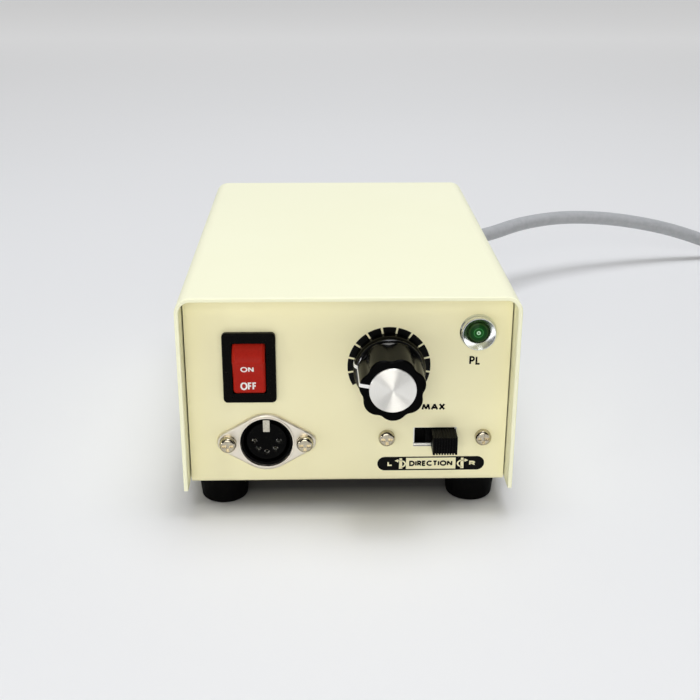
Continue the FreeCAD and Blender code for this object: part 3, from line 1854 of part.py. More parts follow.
def least_gap(edges, diameter, near):
    """Smallest space between stretches of a tube that lie further apart along it than near."""
    spots = []
    travelled = 0
    for edge in (item.toShape() for item in edges):
        steps = max(4, int(edge.Length / 4))
        for step in range(steps):
            share = edge.FirstParameter + (edge.LastParameter - edge.FirstParameter) * step / steps
            spots.append((travelled + edge.Length * step / steps, edge.valueAt(share)))
        travelled += edge.Length
    gap = math.inf
    for place, (length, spot) in enumerate(spots):
        for other_length, other in spots[place + 1 :]:
            if other_length - length > near:
                gap = min(gap, (spot - other).Length)
    return gap - diameter


def mains_lead():
    """The free stretch of the lead and its coil, which meet face to face."""
    radius = SIZES["cord_radius"]
    exit_point = Vector(number("cord_x"), number("relief_end"), number("cord_z"))
    coil = coil_edges()
    entry = coil[0].StartPoint
    route = [exit_point] + [exit_point + Vector(*step) for step in LEAD_FROM_RELIEF]
    route += [entry + Vector(*step) for step in LEAD_TO_COIL] + [entry]
    lead, lead_length = tube_along(lead_edges(route), radius)
    wound, wound_length = tube_along(coil, radius)
    print(f"lead {lead_length:.0f} mm, coil {wound_length:.0f} mm")
    print(f"least gap in the coil {least_gap(coil, 2 * radius, 40):.2f} mm")
    for name, shape in (("mains_lead", lead), ("lead_coil", wound)):
        item = DOC.addObject("Part::Feature", name + "_tube")
        item.Shape = shape
        item.Placement = Placement()
        node(name, item)
    return coil[-1].EndPoint


def mains_plug(neck):
    """Moulded plug lying beside the coil, with two flat blades and a round earth pin."""
    collar = cone(
        "plug_collar", "0", "0", "0", "plug_neck_radius", "plug_rear_height / 2", "plug_neck_length", UPWARDS
    )
    body = DOC.addObject("Part::Wedge", "plug_wedge")
    for axis, rear, front in (
        ("X", "plug_rear_width", "plug_body_width"),
        ("Z", "plug_rear_height", "plug_body_height"),
    ):
        tie(
            body,
            **{
                axis + "min": f"-{rear} / 2",
                axis + "max": f"{rear} / 2",
                axis + "2min": f"-{front} / 2",
                axis + "2max": f"{front} / 2",
            },
        )
    tie(body, Ymin="0", Ymax="plug_body_length")
    body.Placement = Placement(Vector(), Rotation(Vector(1, 0, 0), 90))
    body.setExpression("Placement.Base.z", bound("plug_neck_length"))
    end = number("plug_neck_length + plug_body_length")
    rear = number("plug_neck_length")
    rounded = soften(
        "plug_rounded",
        body,
        "plug_round",
        lambda edge: not all_near(edge, "Z", end) and not all_near(edge, "Z", rear),
    )
    spot = (f"{neck.x}", f"{neck.y}", f"{neck.z}")
    node("mains_plug", put(join("plug_moulding", collar, rounded), *spot, PLUG_LYING))
    face = "plug_neck_length + plug_body_length"
    blades = []
    for side, sign in (("left", "-"), ("right", "")):
        blades.append(
            block(
                f"blade_{side}",
                f"{sign}blade_pitch / 2 - blade_thick / 2",
                "-blade_drop - blade_height / 2",
                face,
                "blade_thick",
                "blade_height",
                "blade_length",
            )
        )
    pin = rod("earth_pin", "0", "earth_pin_rise", face, "earth_pin_radius", "earth_pin_length", UPWARDS)
    node("plug_blades", put(group("blade_set", blades + [pin]), *spot, PLUG_LYING))


# Inside the case.


def transformer():
    """Laminated core with its winding, strapped down to the base."""
    x, y, z = "transformer_x", "panel_y + transformer_y", "floor_z"
    half = "core_length / 2"
    stack = block(
        "core_block",
        f"{x} - core_stack / 2",
        f"{y} - {half}",
        z,
        "core_stack",
        "core_length",
        "core_height",
    )
    windows = []
    for side, start in (("front", f"{y} - {half} + core_leg"), ("rear", f"{y} + core_leg")):
        windows.append(
            block(
                f"core_window_{side}",
                f"{x} - core_stack",
                start,
                f"{z} + core_leg",
                "2 * core_stack",
                "core_window",
                "core_height - 2 * core_leg",
            )
        )
    node("transformer_core", cut("core", stack, *windows))
    high = "core_height - 2 * core_leg - 2 * winding_clearance"
    bottom = f"{z} + core_leg + winding_clearance"
    across = "core_stack + 2 * winding_clearance"
    along = "2 * core_leg + 2 * winding_clearance"
    wall = "winding_thick"
    outer = block(
        "winding_block",
        f"{x} - ({across}) / 2 - {wall}",
        f"{y} - ({along}) / 2 - {wall}",
        bottom,
        f"{across} + 2 * {wall}",
        f"{along} + 2 * {wall}",
        high,
    )
    upright = Vector(0, 0, 1)
    rounded = soften("winding_round", outer, "winding_thick * 0.4", lambda edge: runs_along(edge, upright))
    leg = block(
        "winding_room", f"{x} - ({across}) / 2", f"{y} - ({along}) / 2", bottom, across, along, high
    )
    node("transformer_winding", cut("winding", rounded, leg))
    transformer_strap(x, y, z)


def transformer_strap(x, y, z):
    """Steel strap over the core, with a foot and a screw at each end."""
    clear = "core_length / 2 + winding_clearance"
    width = "core_stack * 0.8"
    parts = []
    outer = block(
        "strap_outer",
        f"{x} - {width} / 2",
        f"{y} - ({clear}) - strap_thick",
        z,
        width,
        f"2 * ({clear} + strap_thick)",
        "core_height + winding_clearance + strap_thick",
    )
    inner = block(
        "strap_inner",
        f"{x} - core_stack",
        f"{y} - ({clear})",
        z,
        "2 * core_stack",
        f"2 * ({clear})",
        "core_height + winding_clearance",
    )
    bridge = cut("strap_bridge", outer, inner)
    parts.append(bridge)
    holes = []
    screws = []
    for place, (spot_x, spot_y) in enumerate(strap_screw_places(), 1):
        parts.append(
            block(
                f"strap_foot_{place}",
                f"{x} - {width} / 2",
                f"{spot_y} - strap_foot / 2 - strap_thick",
                z,
                width,
                "strap_foot + 2 * strap_thick",
                "strap_thick",
            )
        )
        holes.append(rod(f"strap_hole_{place}", spot_x, spot_y, z, "screw_hole", "strap_thick", UPWARDS))
        screws.append(
            pan_screw(
                f"strap_screw_{place}",
                spot_x,
                spot_y,
                f"{z} + strap_thick",
                UPWARDS,
                "strap_thick + sheet_thick + 1.5",
            )
        )
    solid = join("strap_solid", *parts)
    room = block(
        "strap_room",
        f"{x} - core_stack",
        f"{y} - ({clear})",
        z,
        "2 * core_stack",
        f"2 * ({clear})",
        "core_height",
    )
    node("transformer_strap", cut("strap", solid, room, *holes))
    node("transformer_screws", group("strap_screw_set", screws))


def circuit_board():
    """Speed control board on four posts."""
    slab = block(
        "board_slab",
        "board_x",
        "panel_y + board_y",
        "board_z",
        "board_width",
        "board_length",
        "board_thick",
    )
    holes, posts, screws = [], [], []
    for place, (x, y) in enumerate(post_places(), 1):
        holes.append(rod(f"board_hole_{place}", x, y, "board_z", "screw_hole", "board_thick", UPWARDS))
        posts.append(
            ring(f"post_{place}", x, y, "floor_z", "post_radius", "thread_hole", "board_rise", UPWARDS)
        )
        screws.append(
            pan_screw(f"board_screw_{place}", x, y, "board_top", UPWARDS, "board_screw_length")
        )
    node("circuit_board", cut("board", slab, *holes))
    node("board_posts", group("post_set", posts))
    node("board_screws", group("board_screw_set", screws))


def board_parts():
    """Capacitors, rectifier, relay, heat sink and transistor on the board."""
    first = rod(
        "filter_capacitor",
        "board_right - capacitor_radius - part_gap",
        "board_front + board_length * 0.26",
        "board_top",
        "capacitor_radius",
        "capacitor_height",
        UPWARDS,
    )
    small = [
        rod(
            f"small_capacitor_{place}",
            "board_x + small_capacitor_radius + 2 * part_gap",
            f"board_front + board_length * {0.2 + 0.157 * place}",
            "board_top",
            "small_capacitor_radius",
            "small_capacitor_height",
            UPWARDS,
        )
        for place in range(2)
    ]
    node("filter_capacitors", group("capacitor_set", [first] + small))
    node(
        "bridge_rectifier",
        block(
            "rectifier_block",
            "board_x + part_gap",
            "board_front + board_length - 2 * post_inset - rectifier_thick - part_gap / 2",
            "board_top",
            "rectifier_length",
            "rectifier_thick",
            "rectifier_height",
        ),
    )
    node(
        "relay",
        block(
            "relay_block",
            "board_x + part_gap",
            "board_front + board_length * 0.43",
            "board_top",
            "relay_width",
            "relay_length",
            "relay_height",
        ),
    )
    heat_sink()


def heat_sink():
    """Finned sink along the board's right edge with the power transistor against it."""
    x = "board_right - part_gap / 2 - sink_fin_reach - sink_thick"
    y = "board_front + board_length - 2 * post_inset - part_gap - sink_length"
    wall = block("sink_wall", x, y, "board_top", "sink_thick", "sink_length", "sink_height")
    fins = []
    for place in range(int(SIZES["sink_fins"])):
        pitch = "(sink_length - sink_thick) / (sink_fins - 1)"
        fins.append(
            block(
                f"sink_fin_{place}",
                f"{x} + sink_thick",
                f"{y} + {place} * {pitch}",
                "board_top",
                "sink_fin_reach",
                "sink_thick * 0.6",
                "sink_height",
            )
        )
    node("heat_sink", join("sink", wall, *fins))
    case = block(
        "transistor_case",
        f"{x} - transistor_thick",
        f"{y} + (sink_length - transistor_width) / 2",
        "board_top + leg_height",
        "transistor_thick",
        "transistor_width",
        "transistor_height",
    )
    legs = [
        block(
            f"transistor_leg_{place}",
            f"{x} - transistor_thick / 2",
            f"{y} + sink_length / 2 + {place - 1} * 2.54 - leg_thick / 2",
            "board_top",
            "leg_thick",
            "leg_thick",
            "leg_height",
        )
        for place in range(3)
    ]
    node("power_transistor", join("transistor", case, *legs))


def earth_stud():
    """Earth stud through the base with its nut."""
    x, y = "stud_x", "panel_y + stud_y"
    stud = rod("stud_rod", x, y, "floor_z", "stud_radius", "stud_height", UPWARDS)
    shoulder = hexagon("stud_shoulder", x, y, "floor_z", "stud_flats", "stud_nut_thick / 2", UPWARDS)
    upper = nut(
        "stud_nut",
        x,
        y,
        "floor_z + stud_nut_thick",
        "stud_flats",
        "stud_nut_thick",
        "stud_radius + thread_clearance",
        UPWARDS,
    )
    node("earth_stud", group("stud_set", [join("stud", stud, shoulder), upper]))


def build():
    chassis()
    cover()
    cover_screws()
    rubber_feet()
    power_switch()
    power_rocker()
    switch_terminals()
    socket_flange()
    socket_insulator()
    socket_contacts()
    socket_key_spring()
    socket_screws()
    speed_control()
    speed_knob()
    dial_scale()
    direction_label()
    pilot_lamp()
    slide_switches()
    fuse_holder()
    foot_jack()
    strain_relief()
    mains_plug(mains_lead())
    transformer()
    circuit_board()
    board_parts()
    earth_stud()
    DOC.recompute()


def check():
    """Every object has to be built and every sub-part a valid shape."""
    for item in DOC.Objects:
        faults = {"Invalid", "Error"} & set(item.State)
        if faults:
            raise RuntimeError(f"{item.Name} is {faults}")
    for name, item in NODES.items():
        if item.Shape.isNull() or not item.Shape.isValid() or not item.Shape.Solids:
            raise RuntimeError(f"{name} has no valid solid")


def write():
    os.makedirs("parts", exist_ok=True)
    for name, item in NODES.items():
        item.Shape.exportStep(f"parts/{name}.step")
    print(len(NODES), "sub-parts written")


build()
check()
write()
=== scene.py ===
import math

import bmesh
import bpy
from mathutils import Matrix, Vector


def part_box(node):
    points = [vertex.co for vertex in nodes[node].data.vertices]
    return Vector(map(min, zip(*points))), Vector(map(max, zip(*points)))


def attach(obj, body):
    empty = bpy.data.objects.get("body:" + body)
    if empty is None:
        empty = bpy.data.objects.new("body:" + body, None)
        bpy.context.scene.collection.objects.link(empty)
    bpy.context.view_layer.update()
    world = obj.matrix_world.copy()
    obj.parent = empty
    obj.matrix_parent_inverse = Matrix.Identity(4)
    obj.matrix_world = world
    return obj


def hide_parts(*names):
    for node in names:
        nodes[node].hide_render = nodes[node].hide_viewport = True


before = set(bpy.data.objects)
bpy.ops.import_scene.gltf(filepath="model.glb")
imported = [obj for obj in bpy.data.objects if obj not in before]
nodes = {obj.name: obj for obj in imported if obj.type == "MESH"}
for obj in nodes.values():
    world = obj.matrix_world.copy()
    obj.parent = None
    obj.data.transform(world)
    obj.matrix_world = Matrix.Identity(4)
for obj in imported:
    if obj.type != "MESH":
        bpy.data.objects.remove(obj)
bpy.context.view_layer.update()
scene = bpy.context.scene
mm = 0.001


# camera: the photograph's place and angle, worked out from the box's corners and standard fittings

cameraSettings = {
    "place": (-0.007944, -0.344983, 0.16266),
    "yaw": 1.689,  # degrees to the right of the panel's own direction
    "pitch": 21.574,  # degrees down
    "roll": 0.223,
    "lens": 56.09,
    "sensor": 36,
}


def makeCamera(settings):
    data = bpy.data.cameras.new("benchCamera")
    data.lens = settings["lens"]
    data.sensor_width = settings["sensor"]
    data.clip_start = 0.01
    camera = bpy.data.objects.new("benchCamera", data)
    scene.collection.objects.link(camera)
    turned = (
        Matrix.Rotation(math.radians(-settings["yaw"]), 4, "Z")
        @ Matrix.Rotation(math.radians(90 - settings["pitch"]), 4, "X")
        @ Matrix.Rotation(math.radians(settings["roll"]), 4, "Z")
    )
    camera.matrix_world = Matrix.Translation(settings["place"]) @ turned
    scene.camera = camera


makeCamera(cameraSettings)
print("camera made")


# small tools for materials

def toLinear(hexColour):
    channels = [int(hexColour[i:i + 2], 16) / 255 for i in (1, 3, 5)]
    return [c / 12.92 if c <= 0.04045 else ((c + 0.055) / 1.055) ** 2.4 for c in channels] + [1]


def addNode(tree, kind, links=None, **settings):
    # links holds, by an input's name or place, the socket to join to it or the value to set
    node = tree.nodes.new(kind)
    for name, value in settings.items():
        setattr(node, name, value)
    for name, value in (links or {}).items():
        if isinstance(value, bpy.types.NodeSocket):
            tree.links.new(value, node.inputs[name])
        else:
            node.inputs[name].default_value = value
    return node


def newMaterial(name, **sockets):
    material = bpy.data.materials.new(name)
    material.use_nodes = True
    tree = material.node_tree
    shader = tree.nodes["Principled BSDF"]
    for socket, value in sockets.items():
        shader.inputs[socket.replace("_", " ")].default_value = value
    place = addNode(tree, "ShaderNodeTexCoord").outputs["Object"]
    return material, tree, shader, place


def noise(tree, place, grain, detail=2.0, rough=0.5):
    # grain is the size of one spot in metres
    settings = {"Vector": place, "Scale": 1 / grain, "Detail": detail, "Roughness": rough}
    return addNode(tree, "ShaderNodeTexNoise", settings).outputs["Fac"]


def ramp(tree, factor, low, high, start=0.0, end=1.0):
    # colour between two hex values as the factor goes from start to end
    node = addNode(tree, "ShaderNodeValToRGB", {"Fac": factor})
    for stop, position, tone in zip(node.color_ramp.elements, (start, end), (low, high)):
        stop.position, stop.color = position, toLinear(tone)
    return node.outputs["Color"]


def spread(tree, factor, low, high, start=0.0, end=1.0):
    # number between low and high as the factor goes from start to end
    return addNode(
        tree,
        "ShaderNodeMapRange",
        {"Value": factor, "From Min": start, "From Max": end, "To Min": low, "To Max": high},
    ).outputs["Result"]


def relief(tree, shader, height, depth, strength=1.0):
    # depth is the real height of the relief in metres
    settings = {"Height": height, "Distance": depth, "Strength": strength}
    bump = addNode(tree, "ShaderNodeBump", settings)
    tree.links.new(bump.outputs["Normal"], shader.inputs["Normal"])


def roundAxis(tree, place, centre):
    # for an axis along Y through the centre: a spot's direction from it, and its distance
    moved = addNode(
        tree, "ShaderNodeMapping", {"Vector": place, "Location": [-value for value in centre]}
    ).outputs["Vector"]
    parts = addNode(tree, "ShaderNodeSeparateXYZ", {"Vector": moved}).outputs
    flat = addNode(
        tree, "ShaderNodeCombineXYZ", {"X": parts["X"], "Z": parts["Z"]}
    ).outputs["Vector"]
    away = addNode(tree, "ShaderNodeVectorMath", {0: flat}, operation="LENGTH").outputs["Value"]
    return flat, away


def product(tree, first, second):
    return addNode(
        tree, "ShaderNodeMath", {0: first, 1: second}, operation="MULTIPLY"
    ).outputs["Value"]


# materials, each from the real finish

def bakedEnamel(name, tone, shade):
    # powder-coated steel: smooth with a faint orange peel, so that highlights are soft-edged
    material, tree, shader, place = newMaterial(
        name, Roughness=0.42, IOR=1.5, Specular_IOR_Level=0.3
    )
    peel = noise(tree, place, 1.6 * mm, 1.0)  # orange peel about 1.6 mm across
    clouds = noise(tree, place, 45 * mm, 3.0)  # slow change of tone over the sheet
    tree.links.new(ramp(tree, clouds, shade, tone, 0.35, 0.65), shader.inputs["Base Color"])
    fine = noise(tree, place, 0.5 * mm, 2.0)  # the powder's own grain
    tree.links.new(spread(tree, fine, 0.4, 0.46, 0.3, 0.7), shader.inputs["Roughness"])
    relief(tree, shader, peel, 0.006 * mm, 0.4)
    return material


def platedMetal(name, tone, shade, rough, grain=0.35, depth=0.004):
    # bright nickel or zinc over turned or pressed metal: a mirror broken by fine scratches
    material, tree, shader, place = newMaterial(name, Metallic=1.0, Roughness=rough)
    spots = noise(tree, place, grain * mm, 3.0)
    tree.links.new(ramp(tree, spots, shade, tone, 0.3, 0.6), shader.inputs["Base Color"])
    worn = spread(tree, spots, rough * 0.7, rough * 1.4, 0.3, 0.7)
    tree.links.new(worn, shader.inputs["Roughness"])
    relief(tree, shader, spots, depth * mm, 0.4)
    return material


def mouldedPlastic(name, tone, shade, rough, texture=0.3, depth=0.006, gloss=0.5):
    # injection-moulded plastic: even colour, fine spark-eroded texture that breaks the gloss
    material, tree, shader, place = newMaterial(
        name, Roughness=rough, IOR=1.49, Specular_IOR_Level=gloss
    )
    grain = noise(tree, place, texture * mm, 2.0)
    tree.links.new(ramp(tree, grain, shade, tone, 0.3, 0.7), shader.inputs["Base Color"])
    uneven = spread(tree, grain, rough * 0.8, rough * 1.25, 0.3, 0.7)
    tree.links.new(uneven, shader.inputs["Roughness"])
    relief(tree, shader, grain, depth * mm, 0.5)
    return material


def polishedShoulder(name, shoulder):
    # moulded phenolic knob: grip and skirt are worn dull, the round shoulder keeps its moulded polish
    material, tree, shader, place = newMaterial(
        name, Roughness=0.16, IOR=1.49, Specular_IOR_Level=0.04, Coat_Roughness=0.15, Coat_IOR=1.6
    )
    grain = noise(tree, place, 0.6 * mm, 2.0)
    tree.links.new(ramp(tree, grain, "#010101", "#030303", 0.3, 0.7), shader.inputs["Base Color"])
    along = addNode(tree, "ShaderNodeSeparateXYZ", {"Vector": place}).outputs["Y"]
    behind = spread(tree, along, 0, 1, shoulder - 0.3 * mm, shoulder)
    ahead = spread(tree, along, 1, 0, shoulder + 0.6 * mm, shoulder + 1.3 * mm)
    tree.links.new(product(tree, behind, ahead), shader.inputs["Coat Weight"])
    relief(tree, shader, grain, 0.003 * mm, 0.5)
    return material


def printedInk(name, tone, shade):
    # screen-printed enamel ink: flat colour with the faint tooth of the mesh, 0.25 mm apart
    material, tree, shader, place = newMaterial(
        name, Roughness=0.5, IOR=1.5, Specular_IOR_Level=0.1
    )
    tooth = noise(tree, place, 0.25 * mm, 1.0)
    tree.links.new(ramp(tree, tooth, shade, tone, 0.3, 0.7), shader.inputs["Base Color"])
    relief(tree, shader, tooth, 0.004 * mm, 0.4)
    return material


def mouldedRubber(name):
    # moulded rubber feet: dull black with dust in its pores, which lightens patches
    material, tree, shader, place = newMaterial(
        name, Roughness=0.75, IOR=1.52, Specular_IOR_Level=0.06
    )
    dust = noise(tree, place, 3 * mm, 4.0)
    tree.links.new(ramp(tree, dust, "#020202", "#070707", 0.4, 0.75), shader.inputs["Base Color"])
    tree.links.new(spread(tree, dust, 0.6, 0.85, 0.3, 0.7), shader.inputs["Roughness"])
    relief(tree, shader, noise(tree, place, 0.4 * mm), 0.02 * mm, 0.6)
    return material


def spunAluminium(name, centre):
    # turned disc: rings too fine to see draw the highlight out into bright rays from the middle
    material, tree, shader, place = newMaterial(
        name, Metallic=1.0, Roughness=0.36, Anisotropic=0.95
    )
    flat, radius = roundAxis(tree, place, centre)
    rings = addNode(
        tree, "ShaderNodeTexNoise", {"W": radius, "Scale": 1 / (0.3 * mm), "Detail": 2.0},
        noise_dimensions="1D",
    ).outputs["Fac"]  # tool rings drawn 0.3 mm apart, about the finest that shows
    tree.links.new(ramp(tree, rings, "#F3F1EA", "#F6F4EE", 0.3, 0.7), shader.inputs["Base Color"])
    tree.links.new(flat, shader.inputs["Tangent"])  # the highlight spreads across the rings
    return material


lensTonesAndHighlights = {
    "reach": 3.2 * mm,  # from the lens's middle to the last tone
    "first": "#020C05",
    "between": [  # share of the reach, tone
        # the pale green at 0.1 to 0.15 and the lighter green at 0.4 are painted highlights
        (0.06, "#020C05"), (0.1, "#C6F0CC"), (0.15, "#C6F0CC"), (0.19, "#0F5A1C"),
        (0.34, "#0A4A13"), (0.4, "#3C8A46"), (0.45, "#084510"), (0.7, "#06360C"), (0.8, "#2A4A1A"),
    ],
    "last": "#1C3612",
}


def colouredLens(name, centre):
    # green acrylic over a small diode, coloured by distance from the middle: a dark middle inside a
    # painted highlight ring, deep green with a lighter painted highlight ring halfway out, olive
    # towards the rim
    material, tree, shader, place = newMaterial(
        name, Roughness=0.12, IOR=1.49, Specular_IOR_Level=0.15
    )
    _, away = roundAxis(tree, place, centre)
    share = spread(tree, away, 0, 1, 0, lensTonesAndHighlights["reach"])
    tones = addNode(tree, "ShaderNodeValToRGB", {"Fac": share})
    stops = tones.color_ramp.elements
    stops[0].color, stops[1].color = toLinear(lensTonesAndHighlights["first"]), toLinear(lensTonesAndHighlights["last"])
    for position, tone in lensTonesAndHighlights["between"]:
        stops.new(position).color = toLinear(tone)
    tree.links.new(tones.outputs["Color"], shader.inputs["Base Color"])
    return material


def softPvc(name):
    # extruded PVC sheath: even grey, half-dull, with long faint ripples from the die
    material, tree, shader, place = newMaterial(name, Roughness=0.48, IOR=1.53)
    ripple = noise(tree, place, 2.2 * mm, 2.0)
    tone = ramp(tree, ripple, "#ACAEB0", "#B5B6B8", 0.35, 0.65)
    tree.links.new(tone, shader.inputs["Base Color"])
    tree.links.new(spread(tree, ripple, 0.42, 0.56, 0.3, 0.7), shader.inputs["Roughness"])
    relief(tree, shader, ripple, 0.03 * mm, 0.5)
    return material


def laminatedSteel(name):
    # transformer stack: the varnished edges of its sheets show as upright lines 0.3 mm apart,
    # since the wave texture repeats at 0.314 of its length of 1 mm
    material, tree, shader, place = newMaterial(name, Metallic=0.7, Roughness=0.5)
    sheets = addNode(
        tree, "ShaderNodeTexWave", {"Vector": place, "Scale": 1 / mm, "Distortion": 0.3},
        bands_direction="X",
    ).outputs["Fac"]
    tree.links.new(ramp(tree, sheets, "#2C2C30", "#6B6B6E"), shader.inputs["Base Color"])
    relief(tree, shader, sheets, 0.05 * mm, 0.6)
    return material


def windingTape(name):
    # polyester tape round the winding: glossy yellow, with the edges of its turns 5 mm apart
    material, tree, shader, place = newMaterial(name, Roughness=0.25, IOR=1.6)
    turns = addNode(
        tree, "ShaderNodeTexWave", {"Vector": place, "Scale": 1 / (16 * mm), "Distortion": 0.5},
        bands_direction="Z", wave_profile="SAW",
    ).outputs["Fac"]
    tree.links.new(ramp(tree, turns, "#C79A1E", "#E0B93A"), shader.inputs["Base Color"])
    relief(tree, shader, turns, 0.06 * mm, 0.6)
    return material


def boardLaminate(name):
    # green solder mask on glass laminate: copper tracks show as lighter bands under the mask
    material, tree, shader, place = newMaterial(name, Roughness=0.35, IOR=1.5)
    tracks = addNode(
        tree, "ShaderNodeTexBrick",
        {"Vector": place, "Scale": 1 / (14 * mm), "Mortar Size": 0.04, "Brick Width": 0.6,
         "Row Height": 0.3},
    ).outputs["Fac"]
    tree.links.new(ramp(tree, tracks, "#0E5A33", "#2F8A55"), shader.inputs["Base Color"])
    relief(tree, shader, tracks, 0.035 * mm, 0.8)
    return material


finishes = {
    "coverEnamel": (bakedEnamel("coverEnamel", "#FBFADA", "#FAF9D8"), ["cover"]),
    # the chassis: the cover's enamel drawn darker and yellower, partly a real difference in the
    # paint, partly painted shade from the hood over the panel
    "panelEnamelWithShade": (bakedEnamel("panelEnamelWithShade", "#F8F2C9", "#F6EFC4"), ["chassis"]),
    "nickelScrews": (
        platedMetal("nickelScrews", "#C9C1AE", "#A39A85", rough=0.15),
        ["cover_screws", "foot_screws", "socket_screws", "socket_nuts", "speed_control_nut",
         "lamp_nut", "direction_switch_screws", "hand_foot_switch_screws", "foot_jack_nut",
         "transformer_screws", "board_screws"],
    ),
    "nickelFlange": (
        platedMetal("nickelFlange", "#EFE8DA", "#E8E1D2", rough=0.42, grain=1.6, depth=0.001),
        ["socket_flange", "transformer_strap", "board_posts", "plug_blades"],
    ),
    "brightSteel": (
        platedMetal("brightSteel", "#FAFAF8", "#F0EFEA", rough=0.45, grain=0.8),
        ["direction_switch_frame", "hand_foot_switch_frame"],
    ),
    "chromedBrass": (
        platedMetal("chromedBrass", "#E2E4E6", "#D6D8DA", rough=0.16, grain=4.0, depth=0.0),
        ["lamp_bezel"],
    ),
    "silveredBrass": (
        platedMetal("silveredBrass", "#D6D1C2", "#B5AE9C", rough=0.18),
        ["socket_key_spring", "switch_terminals"],
    ),
    "tarnishedSilver": (
        platedMetal("tarnishedSilver", "#FFFDF5", "#8C887C", rough=0.25, grain=0.5),
        ["socket_contacts"],
    ),
    "turnedBrass": (
        platedMetal("turnedBrass", "#D9B661", "#C29B47", rough=0.25), ["knob_bush", "earth_stud"]
    ),
    "zincCan": (
        platedMetal("zincCan", "#B9BDC0", "#9FA4A8", rough=0.35, grain=1.5),
        ["speed_control", "speed_shaft", "heat_sink"],
    ),
    "redRocker": (
        mouldedPlastic(
            "redRocker", "#AE1E10", "#A41A0D", rough=0.4, texture=0.5, depth=0.004, gloss=0.12
        ),
        ["power_rocker"],
    ),
    "blackNylon": (
        mouldedPlastic("blackNylon", "#050403", "#020202", rough=0.3, gloss=0.06),
        ["power_switch_body", "fuse_holder", "fuse_holder_nut", "fuse_cap", "foot_jack",
         "bridge_rectifier", "power_transistor"],
    ),
    "blackPhenolic": (
        mouldedPlastic("blackPhenolic", "#050505", "#020202", rough=0.5, texture=0.4, gloss=0.05),
        ["socket_insulator", "direction_switch_housing", "hand_foot_switch_housing"],
    ),
    "leverPlastic": (
        mouldedPlastic("leverPlastic", "#040404", "#020202", rough=0.4, texture=0.25, gloss=0.06),
        ["direction_lever", "hand_foot_lever"],
    ),
    "relayCase": (mouldedPlastic("relayCase", "#3D76A8", "#33689A", rough=0.3), ["relay"]),
    "capacitorSleeve": (
        mouldedPlastic("capacitorSleeve", "#24303F", "#1B2532", rough=0.28), ["filter_capacitors"]
    ),
    "whiteInlay": (printedInk("whiteInlay", "#F4F4F2", "#EBEBE8"), ["knob_pointer"]),
    "blackInk": (printedInk("blackInk", "#030303", "#010101"), ["dial_scale", "direction_label"]),
    "blackRubber": (mouldedRubber("blackRubber"), ["rubber_feet"]),
    "greyPvc": (softPvc("greyPvc"), ["strain_relief", "mains_plug"]),
    "laminatedSteel": (laminatedSteel("laminatedSteel"), ["transformer_core"]),
    "windingTape": (windingTape("windingTape"), ["transformer_winding"]),
    "boardLaminate": (boardLaminate("boardLaminate"), ["circuit_board"]),
    "fuseGlass": (
        platedMetal("fuseGlass", "#DADDDD", "#C5CBCC", rough=0.1, grain=2.0), ["fuse_link"]
    ),
}
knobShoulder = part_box("speed_knob")[1].y - 4.6 * mm  # 4.6 mm ahead of the skirt's back
finishes["blackKnob"] = (polishedShoulder("blackKnob", knobShoulder), ["speed_knob"])
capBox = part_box("knob_cap")
capCentre = (capBox[0] + capBox[1]) / 2
finishes["spunAluminium"] = (spunAluminium("spunAluminium", capCentre), ["knob_cap"])
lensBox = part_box("lamp_lens")
lensCentre = (lensBox[0] + lensBox[1]) / 2
lensCentre.y = lensBox[0].y
finishes["greenAcrylic"] = (colouredLens("greenAcrylic", lensCentre), ["lamp_lens", "lamp_diode"])

for material, names in finishes.values():
    for name in names:
        node = nodes[name]
        if node.material_slots:
            for slot in node.material_slots:
                slot.material = material
        else:
            node.data.materials.append(material)
dressed = {name for _, names in finishes.values() for name in names}
print("materials made; nodes without one:", sorted(set(nodes) - dressed))


# the mains lead: free run, coil put away beside the view, plug

lead = {
    "diameter": 6.3 * mm,
    "length": 1.58,
    "route": [  # the free run, in millimetres, from the tip of the strain relief
        (38, 85.8, 33), (38, 95, 33), (42, 106.5, 32.2), (51.5, 118.5, 30.8), (68.6, 132.8, 29.4),
        (87.1, 153, 29.6), (111.7, 167, 29), (141, 178.6, 24.5), (173, 187.5, 16.35),
        (206, 192.8, 3.15), (224, 192.8, 3.15),
    ],
    "floorHeight": 3.15,  # of the lead's middle where it lies on the floor
    "coilCentre": (230, 149.3),
    "coilOuter": 43.5,
    "coilPitch": 6.8,
    "coilTurns": 3,  # in each of its two layers
    "turnBack": 0.25,  # turns past the lower layer at which the coil starts to wind out
    "climbTurns": 0.5,  # turns in which it climbs to the upper layer
    "startAngle": 90,
    "pointsPerTurn": 16,
    "tail": [  # from the coil's last turn to the neck of the plug
        (271.8, 136, 11.2), (271.8, 123.3, 12.4), (271.8, 110.9, 12.5), (254.2, 93.3, 12.5),
        (241.8, 93.3, 12.5), (235.8, 93.3, 12.5),
    ],
    "order": 3,
    "stepsPerPoint": 6,
    "roundness": 4,
}


def coilPoint(turn):
    # the coil winds in on the floor, climbs one layer and winds out again
    reverse = lead["coilTurns"] + lead["turnBack"]
    depth = reverse - abs(turn - reverse)
    radius = lead["coilOuter"] - lead["coilPitch"] * depth
    climb = min(max((turn - lead["coilTurns"]) / lead["climbTurns"], 0), 1)
    height = lead["floorHeight"] + lead["coilPitch"] * (1 - math.cos(math.pi * climb)) / 2
    angle = math.radians(lead["startAngle"] - 360 * turn)
    x, y = lead["coilCentre"]
    return (x + radius * math.cos(angle), y + radius * math.sin(angle), height)


